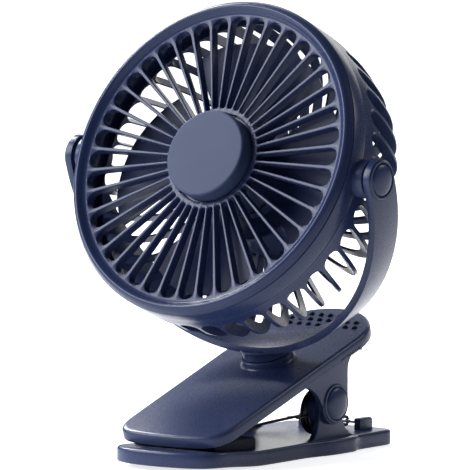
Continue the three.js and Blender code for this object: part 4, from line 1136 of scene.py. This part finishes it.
def dome(radius: float, foot: float, rise: float, centre: Point) -> bpy.types.Object:
    """A low round cap that faces +X.

    Args:
        radius: radius of its foot.
        foot: X of its foot.
        rise: its height.
        centre: where its axis passes.

    Returns:
        The cap.
    """
    edge = rise * 0.34
    crown = [(radius - 0.15, foot + edge - 0.1)]
    crown += [(radius * 0.97 * math.cos(t), foot + edge + (rise - edge) * math.sin(t))
              for t in (math.radians(a) for a in (10, 22, 34, 46, 58, 70, 80))]
    profile = [(0, foot), (radius, foot), (radius, foot + edge - 0.25)] + crown + [(0, foot + rise)]
    return Bench.turned(profile, 72, closed=False, centre=centre)


# ---------------------------------------------------------------- clip
@dataclass(frozen=True)
class Hinge:
    """The hinge's place and the layers of ear and cheek across it."""

    y: float = 24.8
    z: float = 22.4
    ear_in: float = 23.1
    ear_out: float = 26.0
    cheek_in: float = 26.3
    cheek_out: float = 28.7
    ear: float = 8.0
    lobe: float = 9.3
    pin: float = 3.3
    cap: float = 7.25
    cap_rise: float = 2.2
    ring: float = 1.0
    ring_rise: float = 0.8


HINGE = Hinge()


def both_sides(right: Sequence[Spot]) -> list[Spot]:
    """Closes an outline with the mirror image of its right half."""
    return list(right) + [(-x, y) for x, y in reversed(right) if x > 1e-6]


@dataclass
class LowerJaw(SubAssembly):
    """Flat base with ears, lugs, sole and rod."""

    front: float = -70.0
    tail: float = 70.0
    thick: float = 6.8
    front_half: float = 27.6
    hinge_half: float = 30.8
    tail_half: float = 28.0
    bow: float = 4.5
    corner: float = 12.0
    tail_corner: float = 6.0
    toe_lift: float = 2.0
    toe_rear: float = -24.0
    toe_front: float = -60.0
    toe_cuts: int = 12
    sole_half: float = 19.0
    sole_front: float = -22.0
    sole_rear: float = 52.0
    sole_thick: float = 1.0
    lug_in: float = 15.8
    far_lug_in: float = 11.4
    lug_width: float = 3.2
    lug_front: float = 56.0
    lug_len: float = 9.5
    lug_rise: float = 5.1
    rod: float = 0.8
    rod_y: float = 58.3
    rod_z: float = 10.1
    rod_end: float = 17.8
    rod_far_end: float = 22.0
    coil_y: float = 23.5
    coil_z: float = 18.6
    boss: float = 7.9
    boss_in: float = 17.0

    def lift(self, y: float) -> float:
        """How far the base is turned up at a given Y."""
        share = min(max((self.toe_rear - y) / (self.toe_rear - self.toe_front), 0.0), 1.0)
        return self.toe_lift * share * share * (3 - 2 * share)

    def outline(self, inset: float) -> list[Spot]:
        """Outline of the base, drawn in all round by an inset."""
        h = HINGE.y
        front, tail = self.front + inset, self.tail - inset
        half, wide, rear = self.front_half - inset, self.hinge_half - inset, self.tail_half - inset
        cx, cy = half - self.corner * 0.6, front + self.bow
        right = curve([(0, front), (cx * 0.7, front), (cx, cy - 1)], 8)
        right += curve([(cx, cy - 1), (half, cy + 2), (half, cy + self.corner)], 8)[1:]
        right += [(half, -20.0), (half, h - 22.6)]
        right += curve([(half, h - 22.6), (half, h - 12), (wide, h - 8), (wide, h + 2)], 10)[1:]
        right += curve([(wide, h + 9), (wide, h + 16), (rear, h + 14), (rear, h + 22)], 10)
        right += curve([(rear, tail - self.tail_corner), (rear, tail), (rear - self.tail_corner, tail)], 8)
        right.append((0, tail))
        return both_sides(right)

    def ear(self) -> bpy.types.Object:
        """Right ear with its flared foot and the boss that the spring winds round."""
        h, low = HINGE, self.thick - 1.5
        lobe = arc((h.y, h.z), h.ear, 196, -16, 26)
        fore = curve([(h.y - 14.6, self.thick), (h.y - 10.2, self.thick + 0.4), (h.y - 9.4, self.thick + 6),
                      lobe[0]], 8)
        rear = curve([lobe[-1], (h.y + 9.0, self.thick + 6), (h.y + 11, self.thick + 0.6),
                      (h.y + 18.5, self.thick)], 8)
        outline = [(h.y - 14.6, low)] + fore[:-1] + lobe + rear[1:] + [(h.y + 18.5, low)]
        ear = Bench.wall(outline, h.ear_in, h.ear_out)
        Bench.bevel(ear, 0.5, 3, 45)
        boss = Bench.turned([(0, self.boss_in), (self.boss - 0.4, self.boss_in),
                             (self.boss, self.boss_in + 0.4), (self.boss, h.ear_in + 0.6),
                             (0, h.ear_in + 0.6)], 48, closed=False, centre=(0, self.coil_y, self.coil_z))
        Bench.boolean(ear, boss, "UNION")
        bore = Bench.turned([(0, self.boss_in - 1), (h.pin, self.boss_in - 1), (h.pin, h.ear_out + 1),
                             (0, h.ear_out + 1)], 40, closed=False, centre=(0, h.y, h.z))
        Bench.boolean(ear, bore)
        return ear

    def lug(self, inner: float, bore: float) -> bpy.types.Object:
        """A lug on the +X side, bored for the rod.

        Args:
            inner: X of its inner face.
            bore: X where the bore ends.

        Returns:
            The lug.
        """
        rear, top = self.lug_front + self.lug_len, self.thick + self.lug_rise
        outline = fillet([(self.lug_front, self.thick - 1), (self.lug_front, top), (rear, top),
                          (rear, self.thick - 1)], [0, 0.9, 1.6, 0], 4)
        lug = Bench.wall(outline, inner, inner + self.lug_width)
        Bench.bevel(lug, 0.3, 2, 50)
        hole = Bench.turned([(0, inner - 1), (self.rod + 0.3, inner - 1), (self.rod + 0.3, bore), (0, bore)],
                            24, closed=False, centre=(0, self.rod_y, self.rod_z))
        Bench.boolean(lug, hole)
        return lug

    def build(self) -> None:
        """Builds up the base, then its sole and rod."""
        top = self.thick
        levels = [(0.9, 0.0), (0.4, 0.13), (0.1, 0.45), (0.0, 0.95), (0.0, top - 1.2), (0.12, top - 0.65),
                  (0.42, top - 0.24), (0.85, top - 0.05), (1.3, top)]
        base = Bench.skin([[(x, y, z) for x, y in self.outline(inset)] for inset, z in levels])
        Bench.bent(base, self.lift, [self.toe_rear + (self.toe_front - self.toe_rear) * k / self.toe_cuts
                                     for k in range(self.toe_cuts + 1)])
        ear, lug = self.ear(), self.lug(self.lug_in, self.rod_end + 0.3)
        far_lug = self.lug(self.far_lug_in, self.far_lug_in + self.lug_width + 1)
        for part in (Bench.twin(ear), ear, lug, Bench.twin(far_lug)):
            Bench.boolean(base, part, "UNION")
        bpy.data.objects.remove(far_lug, do_unlink=True)
        recess = Bench.slab(self.sole(0.3), -1, self.sole_thick + 0.3)
        Bench.boolean(base, recess)
        self.seat(base, "base_plate", Place.WORLD, "lower_clip", NAVY, ["lower_jaw"], 32)

        sole = Bench.slab(self.sole(0.0), 0.0, self.sole_thick)
        Bench.bevel(sole, 0.25, 2, 50)
        count = 15
        pitch = (self.sole_rear - self.sole_front) / count
        for k in range(1, count):
            y = self.sole_front + k * pitch
            bar = Bench.wall([(y - 0.8, -0.5), (y + 0.8, -0.5), (y + 0.5, 0.45), (y - 0.5, 0.45)],
                             -self.sole_half + 2, self.sole_half - 2)
            Bench.boolean(sole, bar)
        self.seat(sole, "ribbed_sole", Place.WORLD, "lower_clip", RUBBER, ["jaw_sole"])

        end, far = self.rod_end, -self.rod_far_end
        rod = Bench.turned([(0, far), (self.rod - 0.2, far), (self.rod, 0.2 + far), (self.rod, end - 0.2),
                            (self.rod - 0.2, end), (0, end)], 28, closed=False,
                           centre=(0, self.rod_y, self.rod_z))
        self.seat(rod, "rod", Place.WORLD, "lower_clip", STEEL, ["spring_rod"])

    def sole(self, grow: float) -> list[Spot]:
        """Outline of the sole, or of its recess where it is grown."""
        half, front, rear = self.sole_half + grow, self.sole_front - grow, self.sole_rear + grow
        return fillet([(half, front), (half, rear), (-half, rear), (-half, front)], [6, 6, 6, 6], 6)


@dataclass
class Pads(SubAssembly):
    """Ribbed rubber pads in the mouth of the clip."""

    half: float = 22.0
    front: float = -54.0
    rear: float = -25.0
    level: float = -47.0
    base: float = 6.9
    round: float = 2.2
    sheet: float = 1.2
    grooves: int = 11
    groove: float = 0.7
    plate: float = 5.6
    foot_steps: int = 12
    sheet_front: float = -71.1
    sheet_rear: float = -41.04

    def top(self, y: float) -> float:
        """Height of the lower pad's top over a world Y."""
        cosine = math.cos(math.radians(LAYOUT.slope))
        under = LAYOUT.plate_top(min(y, self.level)) - self.plate / cosine
        return under - (0.6 + self.sheet) / cosine

    def build(self) -> None:
        """Draws both pads in section, grooves and all, and extrudes them across the jaw."""
        crest = self.top(self.level)
        pitch = (self.rear - self.round - self.front) / self.grooves
        lift = LowerJaw(self.dresser).lift
        foot = [self.rear + (self.front - self.rear) * k / self.foot_steps
                for k in range(self.foot_steps + 1)]
        line: list[Spot] = [(y, self.base + lift(y)) for y in foot] + [(self.front, self.top(self.front))]
        for k in range(self.grooves):
            y = self.front + (k + 0.5) * pitch
            depth = min(self.groove, (self.top(y) - self.base - lift(y)) * 0.35)
            ends = [(y, self.top(y)), (y + 0.08 * pitch, self.top(y) - depth),
                    (y + 0.32 * pitch, self.top(y + 0.32 * pitch) - depth),
                    (y + 0.4 * pitch, self.top(y + 0.4 * pitch))]
            if ends[0][0] < self.level < ends[-1][0]:
                ends.sort()
            line += ends
        line += curve([(self.rear - self.round, crest), (self.rear, crest), (self.rear, crest - self.round)],
                      5)
        pad = Bench.wall(line, -self.half, self.half)
        Bench.bevel(pad, 0.14, 2, 50)
        self.seat(pad, "grip_wedge", Place.WORLD, "lower_clip", RUBBER, ["lower_pad"])

        high = -self.plate - 0.1
        low = high - self.sheet
        count = 9
        pitch = (self.sheet_rear - self.sheet_front - 3) / count
        line = [(self.sheet_rear, high), (self.sheet_front, high), (self.sheet_front, low)]
        for k in range(count):
            y = self.sheet_front + 1.5 + k * pitch
            line += [(y + 0.3 * pitch, low), (y + 0.4 * pitch, low + 0.5), (y + 0.62 * pitch, low + 0.5),
                     (y + 0.72 * pitch, low)]
        line.append((self.sheet_rear, low))
        sheet = Bench.wall(line, 1 - self.half, self.half - 1)
        Bench.bevel(sheet, 0.14, 2, 50)
        self.seat(sheet, "grip_sheet", Place.JAW, "upper_clip", RUBBER, ["upper_pad"])


@dataclass
class UpperJaw(SubAssembly):
    """Sloping plate with its cheeks, collar, cover, soft studs and hinge caps."""

    thick: float = 5.6
    half: float = 28.7
    front: float = 81.1
    rear: float = 57.5
    bow: float = 2.2
    nose: float = 13.0
    rim: float = 3.4
    pocket_front: float = 40.0
    skin: float = 1.8
    collar: float = 11.5
    collar_rise: float = 3.2
    arch: float = 16.0
    arch_y: float = 24.5
    arch_z: float = 6.9
    round: float = 8.0
    stud: float = 1.05
    stud_rise: float = 1.1
    pitch: float = 5.0
    stud_front: float = 38.5
    rows: int = 4
    cover: float = 1.4
    cup: float = 12.5
    cup_drop: float = 7.0

    def outline(self, inset: float) -> list[Spot]:
        """Outline of the plate, drawn in all round by an inset."""
        half, front, rear = self.half - inset, self.front - inset, self.rear - inset
        cx, cy = half - self.nose * 0.6, -front + self.bow
        right = curve([(0, -front), (cx * 0.7, -front), (cx, cy - 0.4)], 8)
        right += curve([(cx, cy - 0.4), (half, cy + 1.5), (half, cy + self.nose)], 9)[1:]
        right += [(half, y) for y in (-50.0, -30.0, -10.0, 10.0)]
        right += arc((0, rear - half), half, 0, 90, 22)
        return both_sides(right)

    def pocket(self, inset: float) -> list[Spot]:
        """Outline of the hollow under the plate."""
        half = self.half - self.rim - inset
        return [(-half, inset - self.pocket_front), (half, inset - self.pocket_front)] + arc(
            (0, self.rear - self.half), half, 0, 180, 32)

    def studs(self) -> list[Spot]:
        """Centres of the studs, rows set half a pitch apart."""
        spots = []
        edge = self.half - self.rim - 0.6 - self.stud
        for row in range(self.rows):
            y = self.stud_front + row * self.pitch
            room = math.sqrt(max(edge**2 - (y - self.rear + self.half) ** 2, 0))
            shift = self.pitch / 2 if row % 2 else 0
            spots += [(k * self.pitch + shift, y) for k in range(-6, 7)
                      if abs(k * self.pitch + shift) <= room]
        return spots

    def cheek(self) -> bpy.types.Object:
        """Right cheek with its arch, round lobe and the raised ring round the hinge cap."""
        h = HINGE

        def under(y: float) -> Spot:
            return (y, LAYOUT.plate_top(y) + self.thick * 0.45
                    - self.thick / math.cos(math.radians(LAYOUT.slope)))

        ay, az = h.y - self.arch_y, h.z - self.arch_z
        front = arc((ay, az), self.arch, 92, 25, 14)
        lobe = arc((h.y, h.z), h.lobe, 180, 360, 26)
        level = under(h.y + h.lobe)[1] - self.thick * 0.45 - self.round * 0.6
        back = arc((h.y + h.lobe + self.round, level), self.round, 180, 72, 12)
        world = [under(ay - 1)] + front + lobe + back + [under(h.y + h.lobe + self.round * 1.3)]
        wall = Bench.wall([LAYOUT.in_jaw(y, z) for y, z in world], h.cheek_in, h.cheek_out)
        Bench.bevel(wall, 0.75, 4, 48)
        y, z = LAYOUT.in_jaw(h.y, h.z)
        edge, top = h.cap + 0.3, h.cheek_out + h.ring_rise
        ring = Bench.turned([(edge, h.cheek_out - 0.6), (edge, top - 0.2), (edge + 0.2, top),
                             (edge + h.ring - 0.25, top), (edge + h.ring, top - 0.3),
                             (edge + h.ring + 0.2, h.cheek_out + 0.05),
                             (edge + h.ring + 0.2, h.cheek_out - 0.6)], 64, centre=(0, y, z))
        return Bench.together(wall, ring)

    def build(self) -> None:
        """Builds up the plate and everything that it carries."""
        levels = [(0.7, -self.thick), (0.3, 0.12 - self.thick), (0.06, 0.42 - self.thick),
                  (0.0, 0.8 - self.thick), (0.0, -1.55), (0.1, -1.0), (0.36, -0.52), (0.78, -0.19),
                  (1.25, -0.04), (1.8, 0.0)]
        plate = Bench.skin([[(x, y, z) for x, y in self.outline(inset)] for inset, z in levels])
        Bench.boolean(plate, Bench.slab(self.pocket(0), -self.thick - 1, -self.skin))
        for x, y in self.studs():
            hole = Bench.turned([(0, -self.skin - 1), (self.stud + 0.3, -self.skin - 1),
                                 (self.stud + 0.3, -0.2), (self.stud + 0.4, 0.1), (0, 0.1)], 20, closed=False)
            Bench.boolean(plate, Bench.moved(hole, Matrix.Translation((x, y, 0))))
        collar = Bench.turned([(2.8, -1.0), (self.collar + 0.9, -1.0), (self.collar + 0.9, 0.02),
                               (self.collar + 0.35, 0.15), (self.collar, 0.6),
                               (self.collar, self.collar_rise - 0.4), (self.collar - 0.4, self.collar_rise),
                               (2.8, self.collar_rise)], 72)
        cheek = self.cheek()
        whole = Bench.together(plate, collar, cheek, Bench.twin(cheek))
        self.seat(whole, "sloping_plate", Place.JAW, "upper_clip", NAVY, ["upper_jaw"], 32)
        self.grip()
        self.lid()
        y, z = LAYOUT.in_jaw(HINGE.y, HINGE.z)
        cap = dome(HINGE.cap, HINGE.cheek_out + 0.1, HINGE.cap_rise, (0, y, z))
        other = Bench.twin(cap)
        self.seat(cap, "hinge_dome_right", Place.JAW, "upper_clip", NAVY, ["hinge_cap_right"])
        self.seat(other, "hinge_dome_left", Place.JAW, "upper_clip", NAVY, ["hinge_cap_left"])

    def grip(self) -> None:
        """Soft studs on their backing sheet."""
        high = -self.skin - 0.3
        half = self.half - self.rim - 0.3
        centre = (0, self.rear - self.half)
        turn = math.degrees(math.asin((self.stud_front - self.stud - 1 - centre[1]) / half))
        sheet = Bench.slab(arc(centre, half, turn, 180 - turn, 36), high - 0.6, high)
        stud = Bench.turned([(0, high - 0.2), (self.stud, high - 0.2), (self.stud, 0.15),
                             (self.stud * 0.93, 0.6), (self.stud * 0.72, 0.92),
                             (self.stud * 0.4, self.stud_rise - 0.03), (0, self.stud_rise)], 20, closed=False)
        copies = [Bench.copied(stud, Matrix.Translation((x, y, 0))) for x, y in self.studs()]
        bpy.data.objects.remove(stud, do_unlink=True)
        self.seat(Bench.together(sheet, *copies), "soft_studs", Place.JAW, "upper_clip", RUBBER,
                  ["handle_grip"])

    def lid(self) -> None:
        """Cover under the plate, with the cup round the swivel screw and four fixing screws."""
        low = -self.thick
        cover = Bench.slab(self.pocket(0.3), low, low + self.cover)
        Bench.bevel(cover, 0.25, 2, 50)
        cup = Bench.turned([(0, low - self.cup_drop), (self.cup - 1.6, low - self.cup_drop),
                            (self.cup - 0.6, low - self.cup_drop + 0.35),
                            (self.cup, low - self.cup_drop + 1.4), (self.cup, low - 0.5),
                            (self.cup + 0.6, low + 0.05), (self.cup + 0.6, low + 0.5),
                            (self.cup - 1.4, low + 0.5), (self.cup - 1.4, low - self.cup_drop + 1.4),
                            (0, low - self.cup_drop + 1.4)], 72, closed=False)
        bore = Bench.slab(arc((0, 0), self.cup - 1.2, 0, 350, 35), low - 1, 0)
        Bench.boolean(cover, bore)
        across = self.half - self.rim - 2.4 - 1.6
        rear = self.stud_front - self.stud - 2.4 - 2
        spots = [(-across, 4.0 - self.pocket_front), (across, 4.0 - self.pocket_front), (-across, rear),
                 (across, rear)]
        for x, y in spots:
            hole = Bench.turned([(0, low - 1), (1.3, low - 1), (1.3, 0), (0, 0)], 20, closed=False)
            Bench.boolean(cover, Bench.moved(hole, Matrix.Translation((x, y, 0))))
        self.seat(Bench.together(cover, cup), "under_cover", Place.JAW, "upper_clip", NAVY_DARK,
                  ["jaw_cover"])
        for k, (x, y) in enumerate(spots, 1):
            screw = fixing_screw(1.9, 0.8, 1.0, 2.7)
            Bench.moved(screw, Matrix.Translation((x, y, low - 0.3)) @ Matrix.Rotation(math.pi, 4, "X"))
            self.seat(screw, f"cover_fixing_{k}", Place.JAW, "upper_clip", STEEL, [f"cover_screw_{k}"])


@dataclass
class Springs(SubAssembly):
    """Two torsion springs of round wire, hooked over the rod."""

    wire: float = 0.7
    coil: float = 9.7
    coil_y: float = 23.5
    coil_z: float = 18.6
    outer_x: float = 22.05
    pitch: float = 1.95
    turns: int = 2
    start: float = 196.0
    leg: float = 7.3
    bend: float = 1.6
    hook_x: float = 9.5
    rod: float = 0.8
    rod_y: float = 58.3
    rod_z: float = 10.1

    def path(self) -> Ring:
        """Middle of the wire from the front leg to the end of the hook."""
        first = math.radians(self.start)
        leg_y = self.coil_y + self.coil * math.cos(first) - self.bend
        leg_z = self.coil_z + self.coil * math.sin(first) + self.bend
        points: Ring = [(self.outer_x, leg_y - self.leg, leg_z), (self.outer_x, leg_y - 0.6, leg_z),
                        (self.outer_x, leg_y, leg_z - 0.05),
                        (self.outer_x, leg_y + self.bend * 0.6, leg_z - self.bend * 0.35)]
        sweep = 270 - self.start + 360 * self.turns
        steps = round(sweep / 9)
        for k in range(steps + 1):
            turned = sweep * k / steps
            t = math.radians(self.start + turned)
            points.append((self.outer_x - self.pitch * turned / 360, self.coil_y + self.coil * math.cos(t),
                           self.coil_z + self.coil * math.sin(t)))
        inner_x = self.outer_x - self.pitch * sweep / 360
        hook = self.rod + 0.3 + self.wire
        low = self.coil_z - self.coil
        points.append((inner_x - 0.6, self.coil_y + 5, low + 0.1))
        for t in (0.35, 0.55, 0.75):
            points.append((inner_x + (self.hook_x - inner_x) * t,
                           self.coil_y + (self.rod_y - self.coil_y) * t, low + (self.rod_z + hook - low) * t))
        points.append((self.hook_x, self.rod_y - 3.5, self.rod_z + hook - 0.1))
        for angle in range(90, -136, -15):
            t = math.radians(angle)
            points.append((self.hook_x, self.rod_y + hook * math.cos(t), self.rod_z + hook * math.sin(t)))
        return points

    def build(self) -> None:
        """Sweeps the wire along its path and mirrors it."""
        Bench.free()
        bpy.ops.curve.primitive_bezier_curve_add()
        obj = bpy.context.object
        wire = obj.data
        wire.splines.clear()
        spline = wire.splines.new("POLY")
        points = self.path()
        spline.points.add(len(points) - 1)
        for point, spot in zip(spline.points, points):
            point.co = (*spot, 1)
        wire.dimensions = "3D"
        wire.bevel_depth = self.wire
        wire.bevel_resolution = 4
        wire.use_fill_caps = True
        Bench.pick(obj)
        bpy.ops.object.convert(target="MESH")
        obj = bpy.context.object
        Bench.edit(obj)
        Bench.close(0.0005)
        other = Bench.twin(obj)
        self.seat(obj, "torsion_spring_right", Place.WORLD, "lower_clip", SPRING_STEEL, ["spring_right"])
        self.seat(other, "torsion_spring_left", Place.WORLD, "lower_clip", SPRING_STEEL, ["spring_left"])


# ---------------------------------------------------------------- studio
@dataclass(frozen=True)
class Softbox:
    """A square soft light aimed at the object, placed by compass angle and height in degrees."""

    name: str
    azimuth: float
    elevation: float
    distance: float
    size: float
    power: float
    tint: Colour = (1.0, 1.0, 1.0)


@dataclass
class Studio:
    """Pale floor, soft lights, plain surroundings and the camera."""

    focus: Point = (0.0, 0.0, 0.1)
    image: int = 470
    focal_px: float = 20000.0
    azimuth: float = 36.55
    elevation: float = 6.53
    pivot_at: Point = (-2.76, 29.36, 8715.9)
    sensor: float = 36.0
    clip: Spot = (0.1, 200.0)
    floor_size: float = 60.0
    floor_drop: float = 0.0002
    floor_colour: Colour = (0.86, 0.87, 0.89)
    floor_roughness: float = 0.9
    floor_glow: float = 0.75
    surroundings: Colour = (0.74, 0.80, 0.95)
    strength: float = 0.13
    lights: Sequence[Softbox] = (
        Softbox("key_light", -48, 30, 1.3, 0.8, 22.0),
        Softbox("left_light", -108, 37, 1.0, 0.4, 13.0),
        Softbox("right_light", 140, 30, 1.2, 0.45, 3.0),
        Softbox("back_light", 204, 18, 2.2, 1.2, 7.5))

    def directions(self, azimuth: float, elevation: float) -> Vector:
        """Unit vector from the object towards a compass angle and height; 0 looks along +Y."""
        a, e = math.radians(azimuth), math.radians(elevation)
        return Vector((math.sin(a) * math.cos(e), -math.cos(a) * math.cos(e), math.sin(e)))

    def light(self, box: Softbox) -> None:
        """Hangs one softbox."""
        Bench.free()
        towards = self.directions(box.azimuth, box.elevation)
        bpy.ops.object.light_add(type="AREA", location=Vector(self.focus) + towards * box.distance)
        lamp = bpy.context.object
        lamp.name = box.name
        lamp.rotation_mode = "QUATERNION"
        lamp.rotation_quaternion = towards.to_track_quat("Z", "Y")
        lamp.data.shape = "SQUARE"
        lamp.data.size = box.size
        lamp.data.energy = box.power
        lamp.data.color = box.tint

    def floor(self) -> None:
        """Lays a large pale floor whose own white shows to the camera and in reflections."""
        Bench.free()
        bpy.ops.mesh.primitive_grid_add(x_subdivisions=4, y_subdivisions=4, size=self.floor_size,
                                        location=(0, 0, -self.floor_drop))
        floor = bpy.context.object
        floor.name = "studio_floor"
        material = bpy.data.materials.new("studio_floor")
        material.use_nodes = True
        nodes, links = material.node_tree.nodes, material.node_tree.links
        shader = nodes["Principled BSDF"]
        shader.inputs["Base Color"].default_value = (*self.floor_colour, 1)
        shader.inputs["Roughness"].default_value = self.floor_roughness
        shader.inputs["Emission Color"].default_value = (1, 1, 1, 1)
        path = nodes.new("ShaderNodeLightPath")
        seen = nodes.new("ShaderNodeMath")
        seen.operation = "MAXIMUM"
        links.new(path.outputs["Is Camera Ray"], seen.inputs[0])
        links.new(path.outputs["Is Glossy Ray"], seen.inputs[1])
        through_glass = nodes.new("ShaderNodeMath")
        through_glass.operation = "MAXIMUM"
        links.new(seen.outputs[0], through_glass.inputs[0])
        links.new(path.outputs["Is Transmission Ray"], through_glass.inputs[1])
        level = nodes.new("ShaderNodeMath")
        level.operation = "MULTIPLY"
        level.inputs[1].default_value = self.floor_glow
        links.new(through_glass.outputs[0], level.inputs[0])
        links.new(level.outputs[0], shader.inputs["Emission Strength"])
        floor.data.materials.append(material)

    def world(self) -> None:
        """Plain, dim surroundings of one colour."""
        world = bpy.data.worlds.new("studio")
        bpy.context.scene.world = world
        world.use_nodes = True
        back = world.node_tree.nodes["Background"]
        back.inputs["Color"].default_value = (*self.surroundings, 1)
        back.inputs["Strength"].default_value = self.strength

    def camera(self) -> None:
        """Sets the camera at the photograph's angle, with the tilt axis where the photograph has it."""
        back = self.directions(self.azimuth, self.elevation)
        a = math.radians(self.azimuth)
        right = Vector((math.cos(a), math.sin(a), 0))
        up = back.cross(right)
        across, above, away = self.pivot_at
        eye = (LAYOUT.pivot() - right * across - up * above + back * away) * MM
        Bench.free()
        bpy.ops.object.camera_add(location=eye)
        camera = bpy.context.object
        camera.name = "photo_camera"
        camera.matrix_world = Matrix.Translation(eye) @ Matrix((right, up, back)).transposed().to_4x4()
        camera.data.sensor_width = self.sensor
        camera.data.lens = self.focal_px / self.image * self.sensor
        camera.data.clip_start, camera.data.clip_end = self.clip
        camera.data.dof.use_dof = False
        bpy.context.scene.camera = camera

    def build(self) -> None:
        """Sets up the whole studio."""
        self.floor()
        self.world()
        for box in self.lights:
            self.light(box)
        self.camera()
        bpy.context.scene.view_settings.view_transform = "Standard"


def main() -> None:
    """Builds the studio and every sub-assembly in order."""
    Studio().build()
    dresser = Dresser()
    assemblies: Sequence[type[SubAssembly]] = (Works, FrontGrille, HubDisc, HeadShell, RearBasket, RearLid,
                                               Rotor, Yoke, UpperJaw, LowerJaw, Pads, Springs)
    for assembly in assemblies:
        LOG.info("building %s", assembly.__name__)
        assembly(dresser).build()


if __name__ == "__main__":
    main()
